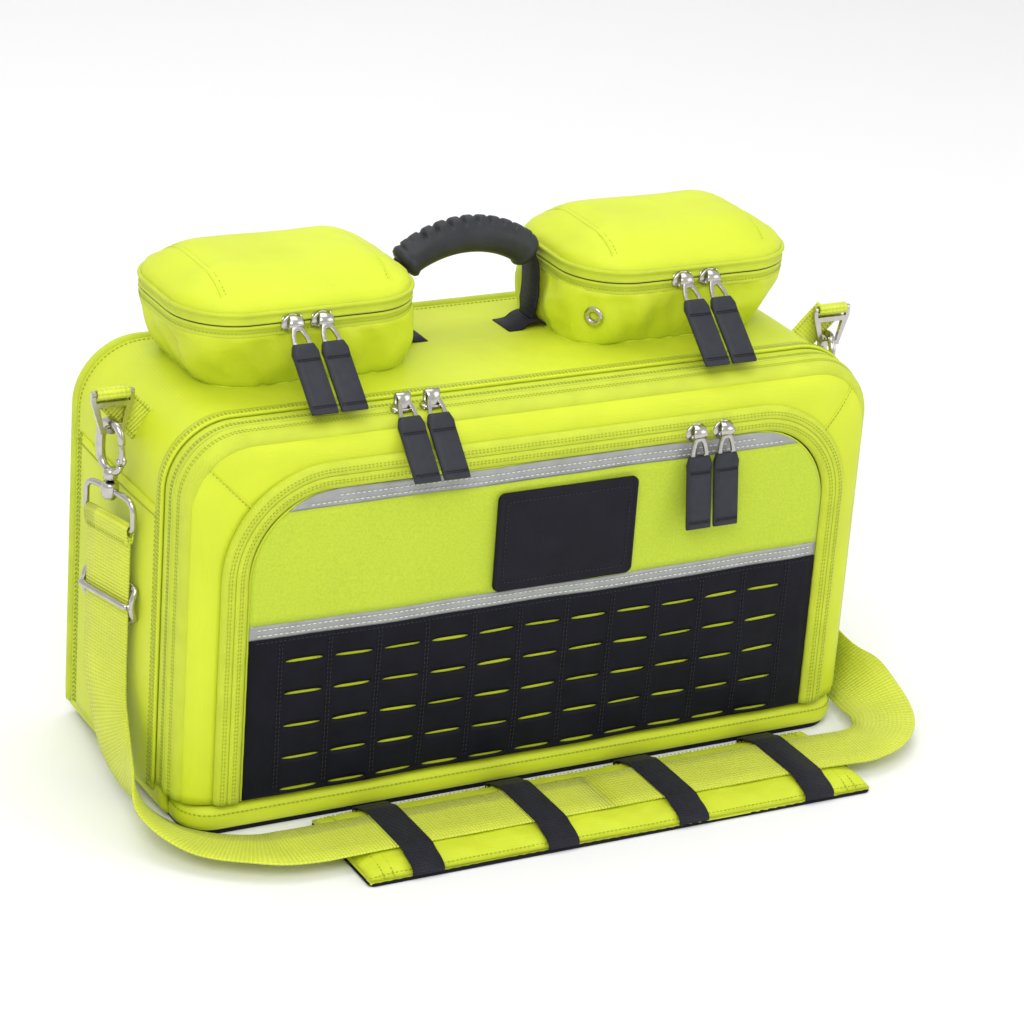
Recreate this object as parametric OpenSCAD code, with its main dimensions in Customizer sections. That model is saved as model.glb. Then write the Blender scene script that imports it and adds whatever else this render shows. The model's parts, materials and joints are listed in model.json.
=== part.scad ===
// Soft-sided response bag: a padded box body with a fold-down front door that
// carries a zipped pocket, two lidded pods on top, a carry handle between them,
// and a shoulder strap with a sliding pad that hooks to a ring at each end.
// The origin is on the floor, under the middle of the body.
// +X is the bag's right, +Y is its back and +Z is up.

/* [Body] */
// Width of the body over its two end walls
body_w = 560; // [520:5:620]
// Height of the body over its top panel
body_h = 300; // [290:1:310]
// How far the back panel is behind the origin
back_y = 113; // [108:1:130]
// Thickness of a padded wall
wall = 8; // [6:1:10]
// Radius of the body's upper corners, seen from the front
corner_r = 48; // [40:1:56]
// Height of the fixed sill under the door
sill_h = 22; // [18:1:23]

/* [Door and pocket] */
// How far the main zip is in front of the origin
zip_y = 78; // [76:0.5:79]
// How far the pocket face is in front of the origin
face_y = 112; // [110:1:114]
// Half the width of the pocket flap
flap_half_w = 235; // [220:1:240]
// Height of the top of the pocket flap
flap_top = 260; // [250:0.5:266]
// Radius of the pocket flap's upper corners
flap_r = 65; // [50:1:70]
// Number of columns of slots
slot_columns = 11; // [5:1:11]
// Number of rows of slots
slot_rows = 5; // [3:1:5]

/* [Pods] */
// Distance from the middle of the bag to the middle of a pod
pod_x = 157; // [156:1:160]
// Height of a pod's zip above the floor
pod_zip_z = 352; // [346:1:356]
// Height of a pod lid's crown above the floor
pod_top_z = 388; // [380:1:392]

/* [Strap] */
// Width of the shoulder strap's webbing
strap_w = 50; // [45:1:50]
// Length of the shoulder pad
pad_len = 418; // [400:1:420]
// Width of the shoulder pad
pad_w = 100; // [90:1:104]
// Distance from the middle of the bag to a strap ring
ring_x = 298; // [296:1:300]

/* [Hidden] */
$fn = 64;

gap = 0.2;
half_w = body_w / 2;
deck = 12;
front_edge = -zip_y + 2;
inner_back = back_y - wall;
door_back = -zip_y - 2;
door_low = sill_h + 2;
door_top = body_h - 3;
pocket_front = -face_y;
zip_face = pocket_front + 4;

// Slots follow the webbing grid of load-carrying gear: 1.5 inch by 1 inch
slot_pitch_x = 38.1;
slot_pitch_z = 25.4;
slot_len = 30;
slot_h = 3;
slot_first_z = 29.5;
slot_panel_top = 151;
tape_low_top = 161.5;
loop_top = 246.5;

pod_y = 35.5;
pod_half = [93, 67];
pod_foot_half = [80, 56];
pod_foot_y = 41.5;
pod_r = 46;

handle_y = 43;
handle_pivot_z = 313.5;
handle_half = 52;
handle_arch_r = 84;
handle_arch_z = 294;
grip_r = 13;

ring_y = -6;
ring_z = 306;
apex_drop = 28;
hook_turn = 15;
eye_z = ring_z - apex_drop - 45;
eye_bar_z = eye_z - 23;
strap_t = 2.4;
pad_y = -168;
pad_shift = 27;
pad_top_z = 12;
web_z = pad_top_z + 1.4;

pull_len = 72;
main_pull_len = 62;
tag_w = 20.5;
tag_t = 3.6;

fabric = "#c8e61a";
fabric_dark = "#aecb10";
black = "#23242a";
steel = "#b9b6ae";

// ---------- shared shapes ----------

// A front-view outline with its own radius at the top and at the bottom
module outline(half, low, high, r_top, r_low) {
    translate([-half + r_top, low + r_low])
        square([2 * (half - r_top), high - low - r_low]);
    translate([-half, low + r_low])
        square([2 * half, high - low - r_low - r_top]);
    translate([-half + r_low, low])
        square([2 * (half - r_low), high - low - r_top]);
    for (side = [-1, 1]) {
        translate([side * (half - r_top), high - r_top]) circle(r_top);
        translate([side * (half - r_low), low + r_low]) circle(r_low);
    }
}

// Stands a front-view outline up and gives it depth from y_from to y_to
module slab(y_from, y_to) {
    translate([0, y_to, 0]) rotate([90, 0, 0])
        linear_extrude(y_to - y_from) children();
}

module box(low, high) {
    translate(low) cube(high - low);
}

module plan_rect(half, r) {
    square([2 * half[0], 2 * (half[1] - r)], center = true);
    square([2 * (half[0] - r), 2 * half[1]], center = true);
    for (sx = [-1, 1], sy = [-1, 1])
        translate([sx * (half[0] - r), sy * (half[1] - r)]) circle(r);
}

module rod(from, to, r) {
    v = to - from;
    len = norm(v);
    translate(from) rotate([0, acos(v[2] / len), atan2(v[1], v[0])])
        cylinder(h = len, r = r);
}

// ---------- body ----------

module base_plan(inset, front) {
    corner = 24;
    w = half_w - inset;
    union() {
        translate([-w, front + corner]) square([2 * w, back_y - inset - front - corner]);
        translate([-w + corner, front]) square([2 * (w - corner), corner + 1]);
        for (side = [-1, 1])
            translate([side * (w - corner), front + corner]) circle(corner);
    }
}

module base_cover() {
    color(black) linear_extrude(3) base_plan(8, -face_y + 4);
}

module base_board() {
    color("dimgray") translate([0, 0, 3 + gap])
        linear_extrude(3) base_plan(10, front_edge + 2);
}

module base_panel() {
    color(fabric) translate([0, 0, 6.4])
        linear_extrude(deck - 6.4 - gap) base_plan(0, front_edge);
}

module front_sill() {
    color(fabric) translate([0, 0, 3 + gap]) linear_extrude(sill_h - 3 - gap)
        difference() {
            base_plan(6, -face_y + 2);
            translate([-half_w, front_edge - gap])
                square([body_w, back_y * 2]);
        }
}

module back_panel() {
    color(fabric) slab(inner_back + gap, back_y)
        outline(half_w - 7, deck, body_h - 7, corner_r - 7, 20);
}

module rear_piping() {
    color(fabric_dark) slab(inner_back + gap, back_y) difference() {
        outline(half_w, deck, body_h, corner_r, 20);
        outline(half_w - 6.8, deck - 10, body_h - 6.8, corner_r - 7, 20);
    }
}

module end_panel(side) {
    slab(front_edge, inner_back) intersection() {
        difference() {
            outline(half_w, -60, body_h, corner_r, 10);
            outline(half_w - wall, -80, body_h - wall, corner_r - wall, 10);
        }
        translate([side > 0 ? half_w - corner_r : -half_w - 1, deck])
            square([corner_r + 1, body_h]);
    }
}

module left_end_panel() {
    color(fabric) end_panel(-1);
}

module right_end_panel() {
    color(fabric) end_panel(1);
}

module top_panel() {
    reach = half_w - corner_r - gap;
    color(fabric) box([-reach, front_edge, body_h - wall], [reach, inner_back, body_h]);
}

// A flat slip pocket on each end wall
module end_pockets() {
    color(fabric) for (at = [half_w + gap, -half_w - gap - 2.4])
        box([at, -62, 22], [at + 2.4, 95, 236]);
}

module main_zip_tape() {
    color(fabric_dark) slab(door_back + 1, front_edge - gap) intersection() {
        difference() {
            outline(half_w, -60, body_h, corner_r, 10);
            outline(half_w - 12, -80, body_h - 12, corner_r - 12, 10);
        }
        translate([-half_w, door_low]) square([body_w, body_h]);
    }
}

module main_divider() {
    reach = half_w - wall - 4;
    color(black) box([-reach, 54, deck], [reach, 60, 236]);
}

// Two hook-and-loop straps that lie open on the floor of the main compartment
module cylinder_straps() {
    color(black) for (x = [-110, 110])
        box([x - 19, front_edge + 4, deck], [x + 19, 50, deck + 1.6]);
}

// ---------- pods ----------

module pod_base(side) {
    difference() {
        hull() {
            translate([side * (pod_x - 10), pod_foot_y, body_h + gap])
                linear_extrude(1) plan_rect(pod_foot_half, 30, $fn = 32);
            translate([side * pod_x, pod_y, pod_zip_z - 1])
                linear_extrude(1) plan_rect(pod_half, pod_r, $fn = 32);
        }
        hull() {
            translate([side * (pod_x - 10), pod_foot_y, body_h + 4])
                linear_extrude(1) plan_rect(pod_foot_half - [5, 5], 26, $fn = 32);
            translate([side * pod_x, pod_y, pod_zip_z])
                linear_extrude(1) plan_rect(pod_half - [5, 5], pod_r - 5, $fn = 32);
        }
    }
}

module left_pod_base() {
    color(fabric) pod_base(-1);
}

// The right pod's inner wall has a hole for its eyelet
module right_pod_base() {
    color(fabric) difference() {
        pod_base(1);
        pod_eyelet_bore();
    }
}

eyelet_at = [90, -9, 326.5];
eyelet_from = 5.4;
eyelet_len = 8;

module pod_eyelet_bore() {
    translate(eyelet_at) rotate([0, -90, 35]) translate([0, 0, -20])
        cylinder(h = 40, r = 5.4);
}

module pod_eyelet() {
    color(steel) translate(eyelet_at) rotate([0, -90, 35])
        difference() {
            translate([0, 0, eyelet_from]) cylinder(h = eyelet_len, r = 5.2);
            cylinder(h = 40, r = 3);
        }
}

module pod_zip(side) {
    translate([side * pod_x, pod_y, pod_zip_z + gap]) linear_extrude(5.6) difference() {
        plan_rect(pod_half, pod_r);
        plan_rect(pod_half - [6, 6], pod_r - 6);
    }
}

module left_pod_zip() {
    color(fabric_dark) pod_zip(-1);
}

module right_pod_zip() {
    color(fabric_dark) pod_zip(1);
}

module pod_dome(inset, low, high) {
    hull() {
        translate([0, 0, low])
            linear_extrude(1) plan_rect(pod_half - [inset, inset], pod_r - inset, $fn = 32);
        translate([0, 0, high - 17])
            linear_extrude(1)
                plan_rect(pod_half - [inset + 5, inset + 6], pod_r - inset - 4, $fn = 32);
        translate([0, 2, high - 5])
            linear_extrude(1)
                plan_rect(pod_half - [inset + 15, inset + 15], pod_r - inset - 12, $fn = 32);
        translate([0, 3, high - 1])
            linear_extrude(1)
                plan_rect(pod_half - [inset + 32, inset + 30], 18, $fn = 32);
    }
}

module pod_lid(side) {
    low = pod_zip_z + 6.4;
    translate([side * pod_x, pod_y, 0]) difference() {
        pod_dome(0, low, pod_top_z);
        pod_dome(5, low - 1, pod_top_z - 5);
    }
}

module left_pod_lid() {
    color(fabric) pod_lid(-1);
}

module right_pod_lid() {
    color(fabric) pod_lid(1);
}

// ---------- carry handle ----------

module handle_anchors() {
    color(black) for (side = [-1, 1])
        box([side * handle_half - 9, handle_y - 24, body_h + gap],
            [side * handle_half + 9, handle_y + 24, body_h + 0.8]);
}

module handle_grip() {
    half_angle = asin(handle_half / handle_arch_r);
    color(black) translate([0, handle_y, handle_arch_z]) rotate([90, 0, 0])
        difference() {
            rotate([0, 0, 90 - half_angle])
                rotate_extrude(angle = 2 * half_angle) translate([handle_arch_r, 0])
                    circle(grip_r);
            for (i = [-3.5:3.5])
                rotate([0, 0, 90 + i * 6.6])
                    translate([handle_arch_r + grip_r + 2.2, 0, -20])
                        cylinder(h = 40, r = 3.6);
        }
}

module handle_webbing() {
    color(black) for (side = [-1, 1])
        translate([side * handle_half - 1.2, handle_y, handle_pivot_z]) {
            rotate([0, 90, 0]) cylinder(h = 2.4, r = 12.5);
            translate([0, -12.5, 0]) cube([2.4, 25, 30]);
        }
}

// ---------- front door and its pocket ----------

module door_panel() {
    color(fabric) slab(-zip_y - 8, door_back)
        outline(half_w - 2, door_low, door_top, corner_r - 2, 2);
}

module door_piping() {
    color(fabric_dark) slab(-zip_y - 15, -zip_y - 8 - gap) difference() {
        outline(half_w + 4, door_low, door_top + 2, corner_r + 2, 2);
        outline(half_w - 3, door_low - 20, door_top - 5, corner_r - 5, 2);
    }
}

module gusset_block(inset, y_back) {
    hull() {
        slab(y_back - 1, y_back)
            outline(half_w - 4 - inset, door_low + inset, door_top - 6 - inset,
                corner_r - 6 - inset, 2, $fn = 32);
        slab(zip_face + gap, zip_face + 1)
            outline(flap_half_w + 18 - inset, door_low + inset, flap_top + 10 - inset,
                flap_r + 8 - inset, 2, $fn = 32);
    }
}

module pocket_gusset() {
    color(fabric) difference() {
        gusset_block(0, -zip_y - 8 - gap);
        union() {
            translate([0, -2, 0]) gusset_block(7, -zip_y - 5);
            translate([0, 5, 0]) gusset_block(7, -zip_y - 5);
            box([-flap_half_w - 1, pocket_front, door_low - 1],
                [flap_half_w + 1, pocket_front + 7 + gap, door_low + 8]);
        }
    }
}

module pocket_zip() {
    color(fabric_dark) slab(zip_face - 3.4, zip_face) difference() {
        outline(flap_half_w + 18, door_low, flap_top + 11, flap_r + 8, 2);
        outline(flap_half_w + 1, door_low - 40, flap_top + 1, flap_r + 1, 2);
    }
}

module flap_outline(inset) {
    outline(flap_half_w - inset, door_low + 0.5 + inset, flap_top - inset, flap_r - inset, 2);
}

module pocket_flap() {
    color(fabric) slab(pocket_front + 1, pocket_front + 7) flap_outline(0);
}

// A band of the flap's face between two heights
module flap_band(low, high, thick) {
    slab(pocket_front + 1 - gap - thick, pocket_front + 1 - gap) intersection() {
        flap_outline(1);
        translate([-flap_half_w, low]) square([2 * flap_half_w, high - low]);
    }
}

module reflective_tapes() {
    color("silver") {
        flap_band(slot_panel_top + gap, tape_low_top, 0.8);
        flap_band(loop_top + gap, flap_top, 0.8);
    }
}

module loop_panel() {
    color(fabric) flap_band(tape_low_top + gap, loop_top, 1.2);
}

module slot_panel() {
    color(black) difference() {
        flap_band(door_low, slot_panel_top, 1.4);
        for (row = [0:slot_rows - 1], column = [0:slot_columns - 1]) {
            x = (column - (slot_columns - 1) / 2) * slot_pitch_x;
            z = slot_first_z + row * slot_pitch_z;
            box([x - slot_len / 2, pocket_front - 3, z - slot_h / 2],
                [x + slot_len / 2, pocket_front + 1, z + slot_h / 2]);
        }
    }
}

module patch_outline() {
    translate([12, 0]) outline(57.5, 163, 240, 5, 5);
}

module patch_face() {
    color(black) slab(pocket_front - 3.4, pocket_front - 1.7) patch_outline();
}

module patch_backing() {
    color("dimgray") slab(pocket_front - 1.5, pocket_front - 0.5) patch_outline();
}

// ---------- zip sliders and pulls ----------
// Each slider faces -Y, with its bridge bar along X at the local origin.

bar_r = 1.2;
bridge = 3.8;
main_bridge = 7.4;

module slider(rise = bridge) {
    box([-8, rise, -5.5], [8, rise + 3, 5.5]);
    rod([-7, 0, 0], [7, 0, 0], bar_r);
    for (side = [-1, 1])
        box([side * 6.4 - 1.3, -1.2, -1.2], [side * 6.4 + 1.3, rise + 0.5, 1.2]);
}

// A metal puller on the bridge bar and a folded tag sewn through its eye
module pull(len) {
    difference() {
        union() {
            rod([-2.5, 0, 0], [2.5, 0, 0], 2.7);
            box([-2.5, -0.9, -8], [2.5, 0.9, 0]);
            box([-5, -0.9, -22], [5, 0.9, -6]);
        }
        rod([-5, 0, 0], [5, 0, 0], bar_r + 0.1);
        box([-3, -2, -19.5], [3, 2, -14.5]);
    }
    difference() {
        box([-tag_w / 2, -tag_t / 2, -len], [tag_w / 2, tag_t / 2, -14]);
        box([-5.3, -1.1, -22.3], [5.3, 1.1, -13]);
    }
}

// Places a slider or a pull at a bridge bar; lean tips it forward from hanging
module at_bar(at, lean) {
    translate(at) rotate([lean, 0, 0]) children();
}

pod_bar_y = pod_y - pod_half[1] - bridge - 3.3;
pod_bar_z = pod_zip_z + 3;
left_pod_xs = [-175, -152];
right_pod_xs = [143, 166];
main_xs = [-111, -88];
pocket_xs = [117, 140];
pod_lean = -50;
main_lean = -45.5;
pocket_lean = -8;
main_bar = [-zip_y - 6, body_h + 3.4 + main_bridge];
pocket_bar = [zip_face - 3.4 - bridge - 3.3, flap_top + 7];

module left_pod_slider_a() {
    color(steel) at_bar([left_pod_xs[0], pod_bar_y, pod_bar_z], 0) slider();
}

module left_pod_slider_b() {
    color(steel) at_bar([left_pod_xs[1], pod_bar_y, pod_bar_z], 0) slider();
}

module right_pod_slider_a() {
    color(steel) at_bar([right_pod_xs[0], pod_bar_y, pod_bar_z], 0) slider();
}

module right_pod_slider_b() {
    color(steel) at_bar([right_pod_xs[1], pod_bar_y, pod_bar_z], 0) slider();
}

module left_pod_pull_a() {
    color(black) at_bar([left_pod_xs[0], pod_bar_y, pod_bar_z], pod_lean) pull(pull_len);
}

module left_pod_pull_b() {
    color(black) at_bar([left_pod_xs[1], pod_bar_y, pod_bar_z], pod_lean) pull(pull_len);
}

module right_pod_pull_a() {
    color(black) at_bar([right_pod_xs[0], pod_bar_y, pod_bar_z], pod_lean) pull(pull_len);
}

module right_pod_pull_b() {
    color(black) at_bar([right_pod_xs[1], pod_bar_y, pod_bar_z], pod_lean) pull(pull_len);
}

// The main zip runs on the top edge, so its sliders face up
module main_slider_a() {
    color(steel) at_bar([main_xs[0], main_bar[0], main_bar[1]], -90)
        slider(main_bridge);
}

module main_slider_b() {
    color(steel) at_bar([main_xs[1], main_bar[0], main_bar[1]], -90)
        slider(main_bridge);
}

module main_pull_a() {
    color(black) at_bar([main_xs[0], main_bar[0], main_bar[1]], main_lean)
        pull(main_pull_len);
}

module main_pull_b() {
    color(black) at_bar([main_xs[1], main_bar[0], main_bar[1]], main_lean)
        pull(main_pull_len);
}

module pocket_slider_a() {
    color(steel) at_bar([pocket_xs[0], pocket_bar[0], pocket_bar[1]], 0) slider();
}

module pocket_slider_b() {
    color(steel) at_bar([pocket_xs[1], pocket_bar[0], pocket_bar[1]], 0) slider();
}

module pocket_pull_a() {
    color(black) at_bar([pocket_xs[0], pocket_bar[0], pocket_bar[1]], pocket_lean)
        pull(pull_len);
}

module pocket_pull_b() {
    color(black) at_bar([pocket_xs[1], pocket_bar[0], pocket_bar[1]], pocket_lean)
        pull(pull_len);
}

// ---------- strap rings ----------

// Webbing sewn to the shoulder of the body, with a sleeve for the ring's bar
module ring_tab() {
    out = -ring_x - 12.5;
    root = -half_w + 22;
    difference() {
        union() {
            translate([-ring_x, ring_y, ring_z]) rod([-12.5, 0, 0], [12.5, 0, 0], 4.4);
            slab(ring_y + 3.2, ring_y + 6.2)
                polygon([[out, ring_z - 4], [out, ring_z + 4.4], [out + 25, ring_z + 4.4],
                    [root, ring_z - 15], [root - 14, ring_z - 30]]);
        }
        translate([-ring_x, ring_y, ring_z]) rod([-30, 0, 0], [30, 0, 0], 2.3);
        translate([-half_w + corner_r, ring_y - 10, body_h - corner_r])
            rotate([-90, 0, 0]) cylinder(h = 30, r = corner_r + gap);
    }
}

module ring_tabs() {
    color(fabric) {
        ring_tab();
        mirror([1, 0, 0]) ring_tab();
    }
}

// A stamped triangular ring: a round bar in the sleeve, and a plate that narrows
// to a rounded apex, with a slot under the bar and an opening for the hook
module ring() {
    plate = 3.2;
    apex_r = 4.6;
    translate([-ring_x, ring_y, ring_z]) {
        rod([-15.6, 0, 0], [15.6, 0, 0], 2.1);
        translate([0, plate / 2, 0]) rotate([90, 0, 0]) linear_extrude(plate) difference() {
            union() {
                polygon([[-16, 2], [16, 2], [16, -6], [9, -apex_drop],
                    [-9, -apex_drop], [-16, -6]]);
                translate([0, -apex_drop + 5]) circle(apex_r + 3);
                translate([-9, -apex_drop - 1.8]) square([18, 6]);
            }
            translate([-12.8, -6.2]) square([25.6, 12]);
            polygon([[-10, -10], [10, -10], [6.4, -apex_drop + 1.8],
                [-6.4, -apex_drop + 1.8]]);
        }
    }
}

module left_ring() {
    color(steel) ring();
}

module right_ring() {
    color(steel) mirror([1, 0, 0]) ring();
}

// ---------- snap hooks ----------
// Local frame: the loop lies in the YZ plane and its inner top bears on the
// ring's apex at the local origin. The gate is on the -Y side.

loop_half = 12;
loop_r = 3;
loop_high = -6.2;
loop_low = -19.2;

module hook_frame() {
    translate([-ring_x, ring_y, ring_z - apex_drop]) rotate([0, 0, hook_turn]) children();
}

module loop_arc(z, turn) {
    translate([0, 0, z]) rotate([0, -90, 0]) rotate([0, 0, turn])
        rotate_extrude(angle = 180) translate([loop_half, 0]) circle(loop_r);
}

module hook() {
    hook_frame() {
        loop_arc(loop_high, -90);
        loop_arc(loop_low, 90);
        rod([0, loop_half, loop_low], [0, loop_half, loop_high], loop_r);
        rod([0, 0, loop_low - loop_half - 5], [0, 0, loop_low - loop_half], 5.5);
        rod([0, 0, -52], [0, 0, loop_low - loop_half - 4], 3);
        rod([0, 0, -54], [0, 0, -51.4], 4.6);
    }
}

module gate() {
    hook_frame() rod([0, -loop_half, loop_low + 1.8], [0, -loop_half, loop_high - 0.5], 2.6);
}

module left_hook() {
    color(steel) hook();
}

module right_hook() {
    color(steel) mirror([1, 0, 0]) hook();
}

module left_gate() {
    color(steel) gate();
}

module right_gate() {
    color(steel) mirror([1, 0, 0]) gate();
}

// ---------- shoulder strap ----------

// The eye that the hook's stem turns in: a cast frame round a bar for the webbing
module swivel_eye() {
    half = strap_w / 2 + 1.2;
    wire = 4.8;
    hook_frame() {
        difference() {
            union() {
                rod([0, 0, -50.6], [0, 0, -39.8], 6);
                translate([-wire / 2, 0, 0]) rotate([90, 0, 90]) linear_extrude(wire)
                    difference() {
                        outline(half + wire, -70.6, -42.6, 9, 1);
                        outline(half, -90, -42.6 - wire, 5, 1);
                    }
            }
            rod([0, 0, -60], [0, 0, -30], 3.1);
        }
        rod([0, -half - 1, -68], [0, half + 1, -68], 2.4);
    }
}

module swivel_eyes() {
    color(steel) {
        swivel_eye();
        mirror([1, 0, 0]) swivel_eye();
    }
}

// One length of webbing through stations of [centre, direction of its width]
module ribbon(stations) {
    reach = strap_w / 2;
    for (i = [0:len(stations) - 2])
        hull() for (station = [stations[i], stations[i + 1]]) {
            along = station[1] / norm(station[1]);
            rod(station[0] - along * reach, station[0] + along * reach, strap_t / 2, $fn = 12);
        }
}

hang_dir = [sin(hook_turn), -cos(hook_turn), 0];
straight_end_z = 98;

// From the eye's bar, down the end wall, and round the front corner to the pad
left_run = [
    [[-ring_x, ring_y, eye_bar_z - 8], hang_dir],
    [[-ring_x, ring_y, straight_end_z], hang_dir],
    [[-ring_x - 1, -14, 72], [0.2, -0.93, 0.3]],
    [[-ring_x - 2, -34, 46], [0.1, -0.8, 0.6]],
    [[-ring_x - 2, -64, 30], [-0.2, -0.6, 0.75]],
    [[-ring_x + 2, -100, 17], [-0.7, -0.5, 0.5]],
    [[-276, -134, 11], [-0.62, -0.74, 0.2]],
    [[-244, -158, 12], [-0.4, -0.9, 0.1]],
    [[-214, pad_y, web_z], [0, -1, 0]]
];
right_run = [
    [[ring_x, ring_y, eye_bar_z - 8], [-hang_dir[0], hang_dir[1], 0]],
    [[ring_x, ring_y, straight_end_z], [-hang_dir[0], hang_dir[1], 0]],
    [[ring_x + 1, -14, 72], [-0.2, -0.93, 0.3]],
    [[ring_x + 2, -34, 46], [-0.1, -0.8, 0.6]],
    [[ring_x + 3, -64, 30], [0.2, -0.6, 0.75]],
    [[ring_x + 6, -98, 20], [0.85, -0.15, 0.5]],
    [[ring_x - 2, -140, 14], [0.8, -0.6, 0.1]],
    [[262, pad_y, web_z], [0, -1, 0]]
];

module webbing_sleeve(side) {
    $fn = 20;
    translate([side * ring_x, ring_y, eye_bar_z]) rotate([0, 0, -side * hook_turn])
        difference() {
            union() {
                rod([0, -strap_w / 2, 0], [0, strap_w / 2, 0], 4.8);
                box([-strap_t / 2, -strap_w / 2, -10], [strap_t / 2, strap_w / 2, 0]);
            }
            rod([0, -strap_w, 0], [0, strap_w, 0], 2.7);
        }
}

module strap_webbing() {
    color(fabric) {
        ribbon(left_run);
        ribbon(right_run);
        ribbon([left_run[len(left_run) - 1], right_run[len(right_run) - 1]]);
        for (side = [-1, 1]) webbing_sleeve(side);
    }
}

// Wire adjuster: the webbing passes in front of its two end bars and behind
// its middle bar
triglide_z = 152;

module triglide() {
    r = 2.4;
    side_at = strap_w / 2 + 3.5;
    off = strap_t / 2 + r + 0.3;
    color(steel) translate([-ring_x, ring_y, triglide_z]) rotate([0, 0, hook_turn]) {
        for (side = [-1, 1]) rod([0, side * side_at, -13], [0, side * side_at, 13], r);
        for (z = [-13, 13]) rod([off, -side_at, z], [off, side_at, z], r);
        rod([-off, -side_at, 0], [-off, side_at, 0], r);
    }
}

// Foam pad with a grippy underside, and four bands over the webbing
module shoulder_pad() {
    left = pad_shift - pad_len / 2;
    color(black) box([left, pad_y - pad_w / 2, 0], [left + pad_len, pad_y + pad_w / 2, 2.4]);
    color(fabric) box([left + 1, pad_y - pad_w / 2 + 1, 2.4],
        [left + pad_len - 1, pad_y + pad_w / 2 - 1, pad_top_z]);
    color(black) for (i = [0:3]) {
        x = left + 46 + i * (pad_len - 92) / 3;
        over = strap_w / 2 + 1;
        difference() {
            box([x - 12.5, pad_y - pad_w / 2 + 1, pad_top_z],
                [x + 12.5, pad_y + pad_w / 2 - 1, web_z + strap_t / 2 + 1.4]);
            box([x - 20, pad_y - over, pad_top_z - 1],
                [x + 20, pad_y + over, web_z + strap_t / 2 + gap]);
        }
    }
}

base_cover();
base_board();
base_panel();
front_sill();
back_panel();
left_end_panel();
right_end_panel();
top_panel();
rear_piping();
end_pockets();
main_zip_tape();
main_divider();
cylinder_straps();
left_pod_base();
right_pod_base();
left_pod_zip();
right_pod_zip();
pod_eyelet();
handle_anchors();
handle_grip();
handle_webbing();
left_pod_lid();
right_pod_lid();
door_panel();
door_piping();
pocket_gusset();
pocket_zip();
pocket_flap();
reflective_tapes();
loop_panel();
slot_panel();
patch_face();
patch_backing();
left_pod_slider_a();
left_pod_slider_b();
right_pod_slider_a();
right_pod_slider_b();
main_slider_a();
main_slider_b();
pocket_slider_a();
pocket_slider_b();
left_pod_pull_a();
left_pod_pull_b();
right_pod_pull_a();
right_pod_pull_b();
main_pull_a();
main_pull_b();
pocket_pull_a();
pocket_pull_b();
ring_tabs();
left_ring();
right_ring();
strap_webbing();
swivel_eyes();
left_hook();
right_hook();
left_gate();
right_gate();
triglide();
shoulder_pad();
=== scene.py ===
"""Looks of a soft-sided response bag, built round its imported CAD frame. Shapes are in millimetres."""

import json
import math

import bpy
import numpy as np
from mathutils import Matrix, Vector


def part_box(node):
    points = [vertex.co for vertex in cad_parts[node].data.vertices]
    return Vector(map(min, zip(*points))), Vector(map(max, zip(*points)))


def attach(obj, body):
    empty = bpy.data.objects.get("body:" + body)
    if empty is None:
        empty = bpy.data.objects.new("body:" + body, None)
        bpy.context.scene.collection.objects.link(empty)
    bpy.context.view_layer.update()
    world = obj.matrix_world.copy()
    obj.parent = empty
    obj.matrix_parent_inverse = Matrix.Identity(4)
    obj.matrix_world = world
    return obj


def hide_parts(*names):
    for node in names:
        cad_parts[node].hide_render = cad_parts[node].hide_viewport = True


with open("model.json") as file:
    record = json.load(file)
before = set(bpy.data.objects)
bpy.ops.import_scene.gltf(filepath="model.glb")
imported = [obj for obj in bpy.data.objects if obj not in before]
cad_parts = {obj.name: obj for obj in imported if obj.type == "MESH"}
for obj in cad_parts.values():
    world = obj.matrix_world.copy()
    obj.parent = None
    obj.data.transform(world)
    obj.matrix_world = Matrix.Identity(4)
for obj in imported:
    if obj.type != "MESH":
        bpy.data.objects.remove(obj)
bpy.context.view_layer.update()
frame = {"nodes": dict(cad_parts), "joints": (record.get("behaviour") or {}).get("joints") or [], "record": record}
MM = 0.001
X, Y, Z = np.eye(3)


def span(node):
    """A CAD node's lowest and highest corners in millimetres."""
    low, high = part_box(node)
    return np.array(low) / MM, np.array(high) / MM


# ---------- places taken from the frame ----------

WALL_LOW, WALL_HIGH = span("left_end_panel")
HALF_W = -WALL_LOW[0]
TOP = span("top_panel")[1][2]
FRONT, BACK = WALL_LOW[1], span("back_panel")[1][1]
CORNER = 48
SILL_LOW, SILL_HIGH = span("front_sill")
DOOR_LOW, DOOR_HIGH = span("door_panel")
FLAP_LOW, FLAP_HIGH = span("pocket_flap")
FLAP_HALF, FLAP_R = FLAP_HIGH[0], 65
SLOT_LOW, SLOT_HIGH = span("slot_panel")
LOOP_LOW, LOOP_HIGH = span("loop_panel")
TAPE_TOP = span("reflective_tapes")[1][2]
POD_LOW, POD_HIGH = span("left_pod_zip")
POD_CENTRE = (POD_LOW + POD_HIGH) / 2
POD_HALF = (POD_HIGH - POD_LOW)[:2] / 2
POD_R = 46
LID_LOW, LID_HIGH = span("left_pod_lid")
PAD_LOW, PAD_HIGH = span("shoulder_pad")
RING_LOW, RING_HIGH = span("left_ring")
RING = np.array([(RING_LOW[0] + RING_HIGH[0]) / 2, (RING_LOW[1] + RING_HIGH[1]) / 2, 306.0])
APEX_Z = 278.0
HOOK_TURN = 15.0
HOOK_AT = np.array([RING[0], RING[1], APEX_Z])
EYE_BAR_Z = 210.0
HANDLE_Y, HANDLE_Z = 43.0, 313.5


# ---------- mesh building ----------

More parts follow.
